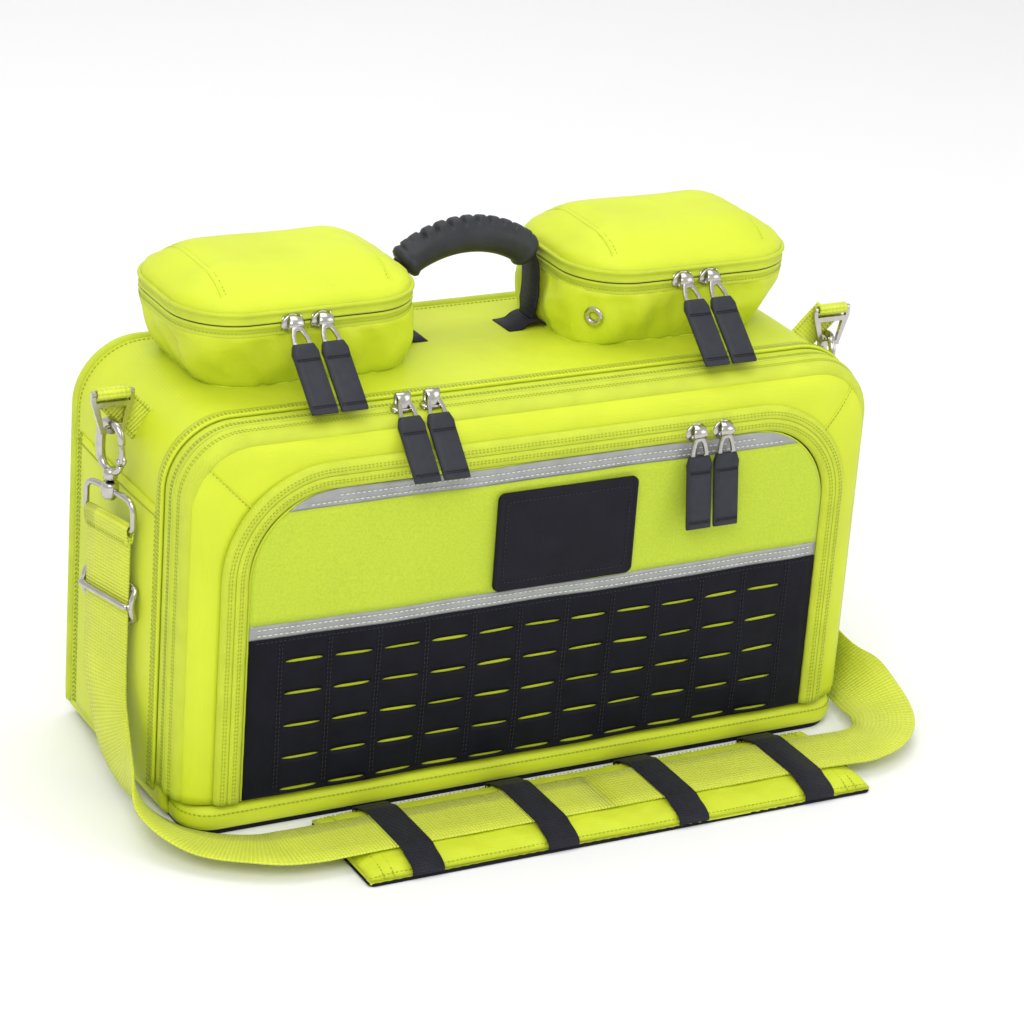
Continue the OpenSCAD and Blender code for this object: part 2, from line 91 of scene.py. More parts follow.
class Shape:
    """Collects points in millimetres and faces, then becomes one mesh object."""

    def __init__(self):
        self.points, self.faces, self.runs, self.count = [], [], [], 0

    def add(self, points, faces, run=None):
        points = np.asarray(points, float).reshape(-1, 3)
        self.points.append(points)
        self.faces += [tuple(i + self.count for i in f) for f in faces]
        self.runs.append(np.zeros((len(points), 3)) if run is None else np.asarray(run, float).reshape(-1,
                                                                                                       3))
        self.count += len(points)
        return self

    def grid(self, rows, wrap_rows=False, wrap_cols=False, run=None):
        rows = np.asarray(rows, float)
        n, m = rows.shape[:2]
        faces = []
        for i in range(n if wrap_rows else n - 1):
            a, b = i * m, (i + 1) % n * m
            for j in range(m if wrap_cols else m - 1):
                k = (j + 1) % m
                faces.append((a + j, a + k, b + k, b + j))
        return self.add(rows, faces, run)

    def join(self, other):
        self.points += other.points
        self.runs += other.runs
        self.faces += [tuple(i + self.count for i in f) for f in other.faces]
        self.count += other.count

    def change(self, rule, mirror=False):
        """Moves the points by a rule, then reflects the shape in X if asked."""
        self.points = [rule(p) * [-1 if mirror else 1, 1, 1] for p in self.points]
        if mirror:
            self.faces = [f[::-1] for f in self.faces]
        return self

    def cap(self, size):
        """Closes the last row of points with one face."""
        self.faces.append(tuple(range(self.count - size, self.count)))
        return self

    def sweep(self, path, out, up, profile, loop=False):
        """Carries a closed profile of (outward, up) pairs along a path. Loop joins the path's ends."""
        path, out, up = (np.asarray(a, float) for a in (path, out, up))
        up = np.broadcast_to(up, path.shape)
        profile = np.asarray(profile, float)
        if profile.ndim == 2:
            profile = np.broadcast_to(profile, (len(path),) + profile.shape)
        rows = path[:, None] + out[:, None] * profile[..., :1] + up[:, None] * profile[..., 1:]
        along = np.concatenate([[0], np.cumsum(np.linalg.norm(np.diff(path, axis=0), axis=1))])
        across = np.concatenate([[0], np.cumsum(np.linalg.norm(np.diff(profile[0], axis=0), axis=1))])
        run = np.zeros(rows.shape)
        run[..., 0], run[..., 1] = along[:, None], across[None]
        start = self.count
        self.grid(rows, loop, True, run)
        if not loop:
            m = rows.shape[1]
            self.faces.append(tuple(start + j for j in reversed(range(m))))
            self.faces.append(tuple(start + (len(path) - 1) * m + j for j in range(m)))
        return self

    def tube(self, path, radius, sides=12, loop=False):
        path = np.asarray(path, float)
        tangent = tangents(path, loop)
        out = perpendicular(tangent, loop)
        side = np.cross(tangent, out)
        radius = np.broadcast_to(radius, (len(path),))
        turn = np.linspace(0, 2 * math.pi, sides, endpoint=False)
        ring = np.stack([np.cos(turn), np.sin(turn)], 1)
        return self.sweep(path, out, side, ring[None] * radius[:, None, None], loop)

    def lathe(self, base, axis, outline, sides=28):
        """Turns an outline of (distance along the axis, radius) pairs round an axis."""
        base, axis = np.asarray(base, float), np.asarray(axis, float) / np.linalg.norm(axis)
        out = perpendicular(np.array([axis, axis]), False)[0]
        side = np.cross(axis, out)
        turn = np.linspace(0, 2 * math.pi, sides, endpoint=False)
        spoke = np.cos(turn)[:, None] * out + np.sin(turn)[:, None] * side
        rows = [base + axis * a + spoke * max(r, 0.01) for a, r in outline]
        return self.grid(rows, False, True)

    def slab(self, outline, origin, x_axis, y_axis, thick, edge=0.4):
        """A plate with rounded edges: outline in (x, y) on the given axes, thickness along their normal."""
        outline = np.asarray(outline, float)
        origin, x_axis, y_axis = (np.asarray(a, float) for a in (origin, x_axis, y_axis))
        normal = np.cross(x_axis, y_axis)
        centre = outline.mean(0)
        shrink = outline - (outline - centre) / np.linalg.norm(outline - centre, axis=1)[:, None] * edge
        half = thick / 2
        layers = [(shrink, -half), (outline, -half + edge), (outline, half - edge), (shrink, half)]
        rows = [origin + p[:, :1] * x_axis + p[:, 1:] * y_axis + normal * h for p, h in layers]
        start, m = self.count, len(outline)
        self.grid(rows, False, True)
        self.faces.append(tuple(start + j for j in reversed(range(m))))
        self.faces.append(tuple(start + 3 * m + j for j in range(m)))
        return self

    def stitches(self, path, up, pitch=3.6, length=2.5, width=0.55, lift=0.12):
        """Thread laid along a path, one short rounded dash for each stitch."""
        path, up = resample(path, up, pitch)
        tangent = tangents(path, False)
        up = up / np.linalg.norm(up, axis=1)[:, None]
        side = np.cross(tangent, up)
        sections = [(-0.5, 0.15), (-0.3, 1.0), (0.3, 1.0), (0.5, 0.15)]
        square = [(1, 0), (0, 1), (-1, 0), (0, -1)]
        for p, t, u, s in zip(path, tangent, up, side):
            rows = [[p + u * lift + t * (a * length) + (s * x + u * y) * (r * width) for x, y in square]
                    for a, r in sections]
            self.grid(rows, False, True)
        return self

    def made(self, name, finish, body, *nodes, slot=None, solid=0, weld=0, puff=0, bevel=0):
        """Makes the object. Given no nodes, it stands in for a CAD node of its own name, if there is one."""
        mesh = bpy.data.meshes.new(name)
        mesh.from_pydata((np.concatenate(self.points) * MM).tolist(), [], self.faces)
        mesh.attributes.new("run", "FLOAT_VECTOR", "POINT").data.foreach_set(
            "vector", np.concatenate(self.runs).astype(np.float32).ravel())
        mesh.validate()
        obj = bpy.data.objects.new(name, mesh)
        bpy.context.scene.collection.objects.link(obj)
        mesh.materials.append(finish)
        mesh.shade_smooth()
        if puff:
            inflate(obj, puff)
        if weld:
            obj.modifiers.new("Weld", "WELD").merge_threshold = weld * MM
        if solid:
            shell = obj.modifiers.new("Thickness", "SOLIDIFY")
            shell.thickness, shell.offset = abs(solid) * MM, -1 if solid > 0 else 1
        if bevel:
            soften(obj, bevel)
        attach(obj, body)
        nodes = nodes or [name] * (name in frame["nodes"])
        if nodes:
            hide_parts(*nodes)
        return obj


def soften(obj, width):
    """Rounds the sharp edges."""
    edge = obj.modifiers.new("Edge", "BEVEL")
    edge.width, edge.segments, edge.limit_method = width * MM, 2, "ANGLE"


CLOTH_PRESSURE, CLOTH_SHRINK, CLOTH_FRAMES = 4.0, -0.02, 20


def inflate(obj, limit):
    """Fills a sewn cover with a cloth simulation whose open edges are held, keeping moves up to a limit."""
    scene = bpy.context.scene
    mesh = obj.data
    count = len(mesh.vertices)
    before = np.empty(count * 3)
    mesh.vertices.foreach_get("co", before)
    before = before.reshape(-1, 3)
    uses = {}
    for polygon in mesh.polygons:
        for key in polygon.edge_keys:
            uses[key] = uses.get(key, 0) + 1
    held = sorted({v for key, n in uses.items() if n == 1 for v in key})
    copy = bpy.data.objects.new("cloth_copy", mesh.copy())
    scene.collection.objects.link(copy)
    copy.vertex_groups.new(name="held").add(held, 1.0, "REPLACE")
    cloth = copy.modifiers.new("Cloth", "CLOTH")
    settings = cloth.settings
    settings.vertex_group_mass = "held"
    settings.use_pressure = True
    settings.uniform_pressure_force = CLOTH_PRESSURE
    settings.shrink_min = CLOTH_SHRINK
    settings.effector_weights.gravity = 0.0
    settings.quality = 5
    cloth.point_cache.frame_start, cloth.point_cache.frame_end = 1, CLOTH_FRAMES
    for step in range(1, CLOTH_FRAMES + 1):
        scene.frame_set(step)
    result = copy.evaluated_get(bpy.context.evaluated_depsgraph_get()).data
    after = np.empty(count * 3)
    result.vertices.foreach_get("co", after)
    move = after.reshape(-1, 3) - before
    far = np.linalg.norm(move, axis=1)[:, None]
    move = move * np.minimum(1, limit * MM / np.maximum(far, 1e-9))
    mesh.vertices.foreach_set("co", (before + np.nan_to_num(move)).ravel())
    mesh.update()
    bpy.data.objects.remove(copy)
    scene.frame_set(1)


def tangents(path, loop):
    ahead = np.roll(path, -1, 0) - np.roll(path, 1, 0)
    if not loop:
        ahead[0], ahead[-1] = path[1] - path[0], path[-1] - path[-2]
    return ahead / np.maximum(np.linalg.norm(ahead, axis=1), 1e-9)[:, None]


def perpendicular(tangent, loop):
    """A direction across each tangent that turns as little as possible along the path."""
    start = Z if abs(tangent[0][2]) < 0.9 else X
    out = [np.cross(np.cross(tangent[0], start), tangent[0])]
    for t in tangent[1:]:
        out.append(out[-1] - t * np.dot(out[-1], t))
    out = np.array(out)
    return out / np.linalg.norm(out, axis=1)[:, None]


def resample(path, up, pitch):
    """Points spaced evenly along a path, with the up direction at each."""
    path = np.asarray(path, float)
    up = np.broadcast_to(np.asarray(up, float), path.shape)
    along = np.concatenate([[0], np.cumsum(np.linalg.norm(np.diff(path, axis=0), axis=1))])
    at = np.arange(pitch / 2, along[-1], pitch)
    pick = [np.stack([np.interp(at, along, a[:, k]) for k in range(3)], 1) for a in (path, up)]
    return pick[0], pick[1]


def smooth_path(stations, per=8):
    """A Catmull-Rom curve through the stations, each a list of numbers."""
    s = np.asarray(stations, float)
    s = np.concatenate([[2 * s[0] - s[1]], s, [2 * s[-1] - s[-2]]])
    out = []
    for i in range(1, len(s) - 2):
        for t in np.linspace(0, 1, per, endpoint=False):
            a, b, c, d = s[i - 1:i + 3]
            out.append(0.5 * (2 * b + (c - a) * t + (2 * a - 5 * b + 4 * c - d) * t * t
                              + (3 * b - a - 3 * c + d) * t ** 3))
    return np.array(out + [s[-2]])


def arch(half, low, high, radius, side=24, arc=14, top=60):
    """Points (x, z) and outward directions up the left side, over the top and down the right side."""
    points, outs = [], []
    for z in np.linspace(low, high - radius, side, endpoint=False):
        points.append((-half, z)), outs.append((-1, 0))
    for a in np.linspace(math.pi, math.pi / 2, arc, endpoint=False):
        points.append((-half + radius + radius * math.cos(a), high - radius + radius * math.sin(a)))
        outs.append((math.cos(a), math.sin(a)))
    for x in np.linspace(-half + radius, 0, top // 2, endpoint=False):
        points.append((x, high)), outs.append((0, 1))
    points, outs = np.array(points), np.array(outs, float)
    mirror = np.array([-1, 1])
    middle = np.array([[0, high]]), np.array([[0, 1.0]])
    return np.concatenate([points, middle[0], points[::-1] * mirror]), \
        np.concatenate([outs, middle[1], outs[::-1] * mirror])


def closed_arch(half, low, high, radius):
    """An arch's outline, closed along its foot."""
    flat, _ = arch(half, low, high, radius, 20, 10, 60)
    return np.concatenate([flat, [(x, low) for x in np.linspace(half, -half, 40)[1:-1]]])


def cushion(faces):
    """A closed pad from the rows of its two faces, each running in from the rim."""
    shape = Shape()
    for rows in faces:
        shape.grid(rows, False, True).cap(len(rows[0]))
    return shape.grid([rows[0] for rows in faces], False, True)


def ribbon(thick, half, edge):
    """Section of webbing that bulges a little at its edges, as (out, across) pairs."""
    return [(-thick, -half), (0, -edge), (thick, -half), (thick, half), (0, edge), (-thick, half)]


def turned(points, degrees, axis):
    """Points turned about an axis through the origin, 0 for X and 2 for Z."""
    a = math.radians(degrees)
    turn = np.array([[1, 0, 0], [0, math.cos(a), -math.sin(a)], [0, math.sin(a), math.cos(a)]])
    return np.asarray(points, float) @ np.roll(turn, axis, (0, 1)).T


def plan_view(flat, z):
    """Lays (x, y) pairs at a height."""
    return np.c_[flat, np.broadcast_to(z, len(flat))]


def front_view(flat, y):
    """Stands (x, z) pairs up at a depth."""
    return np.stack([flat[:, 0], np.broadcast_to(y, len(flat)), flat[:, 1]], 1)


def plan_loop(half_x, half_y, radius, straight=14, arc=10):
    """A closed rounded rectangle in plan, with outward directions, anticlockwise from its right side."""
    points, outs = [], []
    radius = min(radius, half_x, half_y)
    corners = [(1, 1), (-1, 1), (-1, -1), (1, -1)]
    for q, (sx, sy) in enumerate(corners):
        cx, cy = sx * (half_x - radius), sy * (half_y - radius)
        for a in np.linspace(q * math.pi / 2, (q + 1) * math.pi / 2, arc):
            points.append((cx + radius * math.cos(a), cy + radius * math.sin(a)))
            outs.append((math.cos(a), math.sin(a)))
        nx, ny = corners[(q + 1) % 4]
        ex, ey = nx * (half_x - radius), ny * (half_y - radius)
        turn = (q + 1) * math.pi / 2
        start, end = np.array(points[-1]), np.array([ex, ey]) + radius * np.array([math.cos(turn),
                                                                                   math.sin(turn)])
        for t in np.linspace(0, 1, straight + 2)[1:-1]:
            points.append(tuple(start + (end - start) * t)), outs.append((math.cos(turn), math.sin(turn)))
    return np.array(points), np.array(outs)


def rounded(half_x, low, high, radius, arc=6):
    """A closed outline (x, y) between two heights with equal corner radii."""
    points, _ = plan_loop(half_x, (high - low) / 2, radius, 0, arc)
    return points + np.array([0, (high + low) / 2])


FINE = (3.0, 1.9, 0.42)  # pitch, length and width of a zip's stitches


# ---------- materials ----------

def mix(a, b, t):
    return [x + (y - x) * t for x, y in zip(a, b)]


def material(name, colour, roughness, metallic=0.0, sheen=0.0, spread=0.12, blotch=30, grain=(), marks=0.0,
             weave=None, gloss=0.5):
    """A procedural finish. grain holds (size in mm, bump height in mm, kind), and weave is a run pattern that
    bumps the surface and darkens the colour in its low grooves as painted shade.
    """
    mat = bpy.data.materials.new(name)
    mat.use_nodes = True
    nodes, links = mat.node_tree.nodes, mat.node_tree.links
    shader = nodes["Principled BSDF"]
    place = nodes.new("ShaderNodeTexCoord").outputs["Object"]

    def node(kind, **settings):
        new = nodes.new("ShaderNode" + kind)
        for key, value in settings.items():
            setattr(new, key, value)
        return new

    def feed(new, *values):
        """Sets or links the first inputs of a node. None leaves one as it is."""
        for socket, value in zip(new.inputs, values):
            if isinstance(value, (int, float)):
                socket.default_value = value
            elif value is not None:
                links.new(value, socket)
        return new.outputs[0]

    def texture(kind, scale, **settings):
        new = node(kind, **settings)
        new.inputs["Scale"].default_value = scale / MM
        links.new(place, new.inputs["Vector"])
        return new

    def noise(size, detail):
        new = texture("TexNoise", 1 / size)
        new.inputs["Detail"].default_value = detail
        return new.outputs["Fac"]

    def math_node(kind, a, b=0.5):
        return feed(node("Math", operation=kind), a, b)

    ramp = node("ValToRGB")
    for stop, position, dark in zip(ramp.color_ramp.elements, (0.3, 0.72), (spread, -spread * 0.6)):
        stop.position, stop.color = position, (*mix(colour, (0, 0, 0), dark), 1)
    links.new(noise(blotch, 4), ramp.inputs["Fac"])
    shade = ramp.outputs["Color"]
    heights = []
    for size, height, kind in grain:
        if kind == "noise":
            value = noise(size, 2.0)
        elif kind == "cells":
            value = texture("TexVoronoi", 1 / size).outputs["Distance"]
        else:
            x, y, z = (texture("TexWave", 0.314 / size,
                               bands_direction=axis).outputs["Fac"] for axis in "XYZ")
            value = math_node("ADD", math_node("ADD", x, y), z)
        heights.append((value, height))
    if weave:
        kind, pitch, height = weave
        run = node("Attribute", attribute_name="run")
        parts = node("SeparateXYZ")
        links.new(run.outputs["Vector"], parts.inputs[0])
        along, across = parts.outputs[0], parts.outputs[1]
        turn = 2 * math.pi / pitch
        if kind == "rib":
            wave = math_node("SINE", math_node("MULTIPLY", along, turn))
            thread = math_node("SINE", math_node("MULTIPLY", across, turn * 0.8))
            value = math_node("ADD", wave, math_node("MULTIPLY", thread, 0.45))
        else:
            value = math_node("SINE", math_node("MULTIPLY", math_node("ADD", along, across), turn))
        heights.append((value, height))
        # Painted shade: the base colour is multiplied down to 0.86 in the weave's low grooves, following the same
        # height that drives the bump.
        dark = node("Mix", data_type="RGBA", blend_type="MULTIPLY")
        dark.inputs[0].default_value = 1.0
        links.new(shade, dark.inputs[6])
        links.new(feed(node("MapRange"), value, -1.0, 0.6, 0.86, 1.0), dark.inputs[7])
        shade = dark.outputs[2]
    links.new(shade, shader.inputs["Base Color"])
    for socket, value in (("Metallic", metallic), ("Specular IOR Level", gloss), ("Sheen Weight", sheen),
                          ("Sheen Roughness", 0.4), ("Sheen Tint", (*mix(colour, (1, 1, 1), 0.5), 1))):
        shader.inputs[socket].default_value = value
    rough = node("MapRange")
    feed(rough, noise(blotch * 0.4, 5), None, None, max(roughness - 0.08 - marks, 0.05), roughness + 0.08)
    links.new(rough.outputs[0], shader.inputs["Roughness"])
    previous = None
    for value, height in heights:
        bump = node("Bump")
        bump.inputs["Distance"].default_value = height * MM
        bump.inputs["Strength"].default_value = 1.0
        links.new(value, bump.inputs["Height"])
        if previous:
            links.new(previous, bump.inputs["Normal"])
        previous = bump.outputs["Normal"]
    if previous:
        links.new(previous, shader.inputs["Normal"])
    return mat


HI_VIS = (0.585, 0.675, 0.026)
SHELL = material("shell_fabric", HI_VIS, 0.52, sheen=0.05, spread=0.06, blotch=60, gloss=0.35,
                 grain=[(34, 1.6, "noise"), (0.9, 0.035, "weave")])
LINING = material("lining", (0.020, 0.021, 0.026), 0.7, sheen=0.2, spread=0.2, grain=[(1.0, 0.05, "weave")])
TRIM = material("trim", (0.58, 0.68, 0.03), 0.62, sheen=0.15, spread=0.08, blotch=20,
                weave=("twill", 1.5, 0.10), grain=[(14, 0.25, "noise")])
WEBBING = material("webbing", (0.66, 0.74, 0.05), 0.6, sheen=0.25, spread=0.06, blotch=25,
                   weave=("rib", 2.6, 0.28), grain=[(20, 0.5, "noise")])
THREAD = material("thread", (0.34, 0.42, 0.012), 0.55, spread=0.1, blotch=3)
WHITE_THREAD = material("white_thread", (0.72, 0.73, 0.70), 0.55, spread=0.06, blotch=3)
BLACK_THREAD = material("black_thread", (0.012, 0.012, 0.016), 0.5, spread=0.15, blotch=3)
DARK = material("dark_fabric", (0.006, 0.006, 0.012), 0.5, spread=0.25, blotch=22, gloss=0.12,
                grain=[(30, 1.0, "noise"), (0.9, 0.05, "weave")])
DARK_WEB = material("dark_webbing", (0.016, 0.016, 0.024), 0.55, sheen=0.04, gloss=0.2, spread=0.2,
                    blotch=12, weave=("rib", 1.9, 0.22))
GRIP = material("grip_rubber", (0.026, 0.027, 0.032), 0.5, gloss=0.3, spread=0.2, blotch=14,
                grain=[(0.8, 0.05, "noise")])
PATCH = material("patch_rubber", (0.009, 0.008, 0.014), 0.5, gloss=0.15, spread=0.2, blotch=18,
                 grain=[(1.1, 0.06, "noise")])
METAL = material("satin_nickel", (0.52, 0.50, 0.465), 0.24, metallic=1.0, spread=0.10, blotch=9, marks=0.08,
                 grain=[(2.2, 0.03, "noise")])
REFLECTIVE = material("reflective_tape", (0.33, 0.335, 0.33), 0.38, metallic=0.25, spread=0.14, blotch=16,
                      grain=[(1.3, 0.05, "cells"), (11, 0.35, "noise")])
LOOP = material("loop_pile", (0.47, 0.59, 0.032), 0.85, sheen=0.4, spread=0.10, blotch=1.6,
                grain=[(0.7, 0.22, "noise"), (9, 0.4, "noise")])
HOOK_PILE = material("hook_pile", (0.016, 0.016, 0.018), 0.8, sheen=0.3, spread=0.3, blotch=2,
                     grain=[(1.4, 0.5, "cells")])
TAG = material("pull_tag", (0.030, 0.031, 0.040), 0.5, sheen=0.03, gloss=0.25, spread=0.15, blotch=7,
               weave=("twill", 1.2, 0.06))
BOARD = material("board", (0.03, 0.03, 0.03), 0.5, spread=0.1, grain=[(1.5, 0.05, "noise")])


def keep(node, finish, bevel=0.0):
    """A CAD node whose shape is right stays, with this finish."""
    obj = frame["nodes"][node]
    obj.data.materials.clear()
    obj.data.materials.append(finish)
    if bevel:
        soften(obj, bevel)


def hump(t):
    """0 at both ends and 1 in the middle."""
    return np.sin(np.clip(t, 0, 1) * math.pi)


# ---------- body ----------

WALL = 7.0
BODY_FRONT = FRONT + 1


def body_outline(y_share):
    """The body's section at a share of its depth, as a closed (x, z) loop that crowns between its seams."""
    crown = 3.0 * hump(y_share) ** 0.7
    points, outs = arch(HALF_W, 12, TOP, CORNER, 30, 14, 80)
    swell = crown * hump(np.linspace(0, 1, len(points))) * 0.6 + crown * 0.3
    points = points + outs * swell[:, None]
    low_z = 4.5
    foot_r = 7.5
    left = points[0][0]
    turn = np.linspace(0, math.pi / 2, 6)[1:]
    foot = np.stack([left + foot_r * (1 - np.cos(turn)), 12 - foot_r * np.sin(turn)], 1)
    flat = np.linspace(-left - foot_r, left + foot_r, 60)[1:-1]
    flat = np.stack([flat, np.full(len(flat), low_z)], 1)
    return np.concatenate([points, foot * [-1, 1], flat, foot[::-1]])


def build_body():
    """The padded wrap round the sides and top, the crowned back and the piping behind it."""
    depth = np.linspace(0, 1, 26)
    rows = [front_view(body_outline(t), BODY_FRONT + (BACK - 6 - BODY_FRONT) * t) for t in depth]
    Shape().grid(rows, False, True).made(
        "body_wrap", SHELL, "bag", "left_end_panel", "right_end_panel", "top_panel", "base_panel", solid=WALL)
    # Cover of the back, crowned, with a rounded outline
    rows = []
    for inset in (0, 2, 6, 14, 30, 60, 100, 142):
        outline = closed_arch(HALF_W - 4 - inset, 10 + inset * 0.98, TOP - 4 - inset,
                              max(CORNER - 4 - inset, 3))
        rows.append(front_view(outline, BACK - 3 + 4.0 * (1 - math.exp(-inset / 30))))
    Shape().grid(rows, False, True).cap(len(rows[0])).made(
        "back_cover", SHELL, "bag", "back_panel", solid=3)
    flat, outs = arch(HALF_W - 1.5, 14, TOP - 1.5, CORNER - 1.5, 30, 18, 60)
    base = [(x, 8) for x in np.linspace(HALF_W - 8, -HALF_W + 8, 40)]
    Shape().tube(front_view(np.concatenate([flat, base]), BACK - 4.5), 4.2, 12, True).made(
        "rear_piping", TRIM, "bag")
    seam = front_view(flat + outs, BACK - 14)
    Shape().stitches(seam + front_view(outs, 0) * 1.2, front_view(outs, 0)).made(
        "rear_seam_stitches", THREAD, "bag")


def build_end_pockets():
    """A flat slip pocket on each end wall, hemmed along its edges."""
    low, high = span("end_pockets")
    pockets, thread = Shape(), Shape()
    for side in (-1, 1):
        ys, zs = np.linspace(low[1], high[1], 26), np.linspace(low[2] - 4, high[2], 34)
        grid = []
        for z in zs:
            v = (z - zs[0]) / (zs[-1] - zs[0])
            row = []
            for y in ys:
                u = (y - ys[0]) / (ys[-1] - ys[0])
                edge = min(u, 1 - u, (1 - v) * 1.6)
                lift = 1.6 + 2.2 * (1 - math.exp(-edge * 9)) + 3.0 * math.sin(math.pi * u) * 0.6
                row.append((side * (HALF_W + lift), y, z))
            grid.append(row)
        pockets.grid(grid if side > 0 else [row[::-1] for row in grid])
        grid = np.array(grid)
        up = np.array([side, 0, 0.0])
        for path in (grid[:, 1], grid[:, -2], grid[-2]):
            for shift in (0, 3.0):
                thread.stitches(path + up * 0.3 + Y * shift, up)
    pockets.made("end_pockets", SHELL, "bag", solid=1.6)
    thread.made("end_pocket_stitches", THREAD, "bag")


def build_sill():
    """The fixed padded edge under the door, with a corner tab at each end."""
    half, front, r = SILL_HIGH[0], SILL_LOW[1], 24
    path, outs = [(-half, y) for y in np.linspace(SILL_HIGH[1], front + r, 6)], [(-1, 0)] * 6
    for a in np.linspace(math.pi, 1.5 * math.pi, 12)[1:]:
        path.append((-half + r + r * math.cos(a), front + r + r * math.sin(a)))
        outs.append((math.cos(a), math.sin(a)))
    path += [(x, front) for x in np.linspace(-half + r, 0, 30)[1:]]
    outs += [(0, -1)] * 29
    path, outs = np.array(path), np.array(outs, float)
    path = np.concatenate([path, path[:-1][::-1] * [-1, 1]])
    outs = np.concatenate([outs, outs[:-1][::-1] * [-1, 1]])
    path, outs = plan_view(path, 0), plan_view(outs, 0)
    top = SILL_HIGH[2]
    profile = [(-30, 3.4), (-2, 3.4), (0.6, 5), (1.6, 9), (1.4, 14), (0, 18.5), (-2.6, 21), (-6, top),
               (-30, top)]
    Shape().sweep(path, outs, Z, profile).made("sill", SHELL, "bag", "front_sill")
    Shape().stitches(path + outs * 1.3 + [0, 0, 16.6], outs).made("sill_stitches", THREAD, "bag")
    keep("base_cover", DARK, 0.8)
    keep("base_board", BOARD)


# ---------- zips ----------

# Section of half a zip as (across, height): the tape's edge, a low ridge and the gap in the middle
ZIP_HALF = [(-3.4, 0.1), (-2.9, 0.9), (-1.8, 1.25), (-0.7, 1.05), (-0.25, 0.1)]


def stitch_rows(name, body, path, out, rows):
    """Rows of zip stitches at (distance forward, height) off a path that faces out."""
    thread = Shape()
    for across, height in rows:
        thread.stitches(path + out * height - Y * across, out, *FINE)
    thread.made(name, THREAD, body)


def build_main_zip():
    """Runs over the top and down both sides. The body keeps one half and the door keeps the other."""
    flat, outs = arch(HALF_W + 0.6, DOOR_LOW[2] + 1, TOP + 0.6, CORNER, 40, 22, 90)
    seam_y = DOOR_HIGH[1]
    path, out = front_view(flat, seam_y), front_view(outs, 0)
    back = [(0.7, -14.0), (0.9, -13.2), (0.3, -12.4)] + [(h, a) for a, h in ZIP_HALF] + [
        (-1.0, -0.3), (-1.6, -6), (-1.4, -14)]
    Shape().sweep(path, out, -Y, back).made("main_zip_tape", TRIM, "bag")
    lip = [(2.3, -26), (3.1, -16.5), (2.9, -15.2), (1.6, -15.0), (0.4, -16), (0.4, -26)]
    Shape().sweep(path, out, -Y, lip).made("main_zip_lip", SHELL, "bag")
    stitch_rows("main_zip_stitches", "bag", path, out,
                ((-5.6, 0.3), (-7.6, 0.3), (-17.8, 3.15), (-20.4, 3.0)))
    coil = Shape().sweep(path, out, -Y, [(0.55, -0.6), (0.2, 0.1), (-0.8, 0.1), (-0.8, -0.6)])
    coil.made("main_zip_coil", BLACK_THREAD, "bag")
    # The door's half, and the roll that carries it round to the front
    front = np.array([(0.0, 0.3), (1.15, 0.8), (1.3, 1.8), (0.8, 2.9), (0.2, 3.4), (-0.6, 5.5), (-0.9, 7.2),
                      (-0.9, 9.5), (-1.5, 12), (-3.2, 14.4), (-5.4, 16.2), (-7.8, 17), (-10, 16.4),
                      (-11, 14), (-9, 9), (-6, 6.2), (-2.6, 2)])
    Shape().sweep(path, out, -Y, front).made("door_roll", TRIM, "door", "door_piping")
    stitch_rows("door_roll_stitches", "door", path, out, ((5.0, -0.35), (6.9, -0.8)))


def gusset_rows(count=10, lift=4.0):
    """The slope from the door's edge to the pocket's face, as rows from back to front."""
    back, back_out = arch(HALF_W - 5, DOOR_LOW[2], DOOR_HIGH[2] - 4, CORNER - 5, 30, 16, 80)
    face, face_out = arch(FLAP_HALF + 19, DOOR_LOW[2], FLAP_HIGH[2] + 11.5, FLAP_R + 9, 30, 16, 80)
    rows = []
    for t in np.linspace(0, 1, count):
        flat = back + (face - back) * t + (back_out + face_out) * 0.5 * lift * hump(t) ** 0.8
        rows.append(front_view(flat, DOOR_HIGH[1] - 15.5 + (FLAP_LOW[1] + 3.5 - DOOR_HIGH[1] + 15.5) * t
                               - 1.5 * hump(t)))
    return np.array(rows)


def build_door():
    """The sloping gusset between the door's edge and the pocket, and the door's padded board."""
    rows = gusset_rows()
    n = rows.shape[1]
    x = rows[..., 0]
    ripple = np.sin(x / 17.0 + rows[..., 2] / 23.0) * 0.5 + np.sin(x / 7.3) * 0.25
    rows[..., 1] -= ripple * hump(np.linspace(0, 1, len(rows)))[:, None]
    # A mitre seam runs down each upper corner
    corner = 30 + 8
    fade = hump(np.linspace(0.08, 0.92, len(rows)))[:, None]
    for c in (corner, n - 1 - corner):
        dist = np.abs(np.arange(n) - c)
        rows[:, :, 1] += 1.6 * np.exp(-(dist / 1.2) ** 2)[None] * fade
    Shape().grid(rows).made("pocket_gusset", SHELL, "door", solid=-2.5)
    seam, thread = Shape(), Shape()
    for c in (corner, n - 1 - corner):
        up = np.array([np.sign(rows[0, c, 0]) * 0.5, -0.75, 0.45])
        path = smooth_path(rows[:, c], 3)
        seam.tube(path + up * 0.3, 0.7, 6)
        thread.stitches(path + up * 0.6 + np.array([0, 0, -2.4]), up, 3.2, 2.1, 0.45)
    seam.made("gusset_seams", SHELL, "door")
    thread.made("gusset_stitches", THREAD, "door")
    # Padded lining board of the door, bound along its edge
    faces = []
    for y, crown in ((DOOR_LOW[1] - 0.5, -1), (DOOR_HIGH[1] - 0.2, 1)):
        levels = []
        for inset in (0, 3, 9, 24, 60, 110, 130):
            outline = closed_arch(HALF_W - 6 - inset, DOOR_LOW[2] + inset, DOOR_HIGH[2] - 5 - inset,
                                  max(CORNER - 8 - inset, 2))
            levels.append(front_view(outline, y + crown * (1.2 - 1.6 * math.exp(-inset / 12))))
        faces.append(levels)
    cushion(faces).made("door_lining", LINING, "door", "door_panel", weld=0.2)


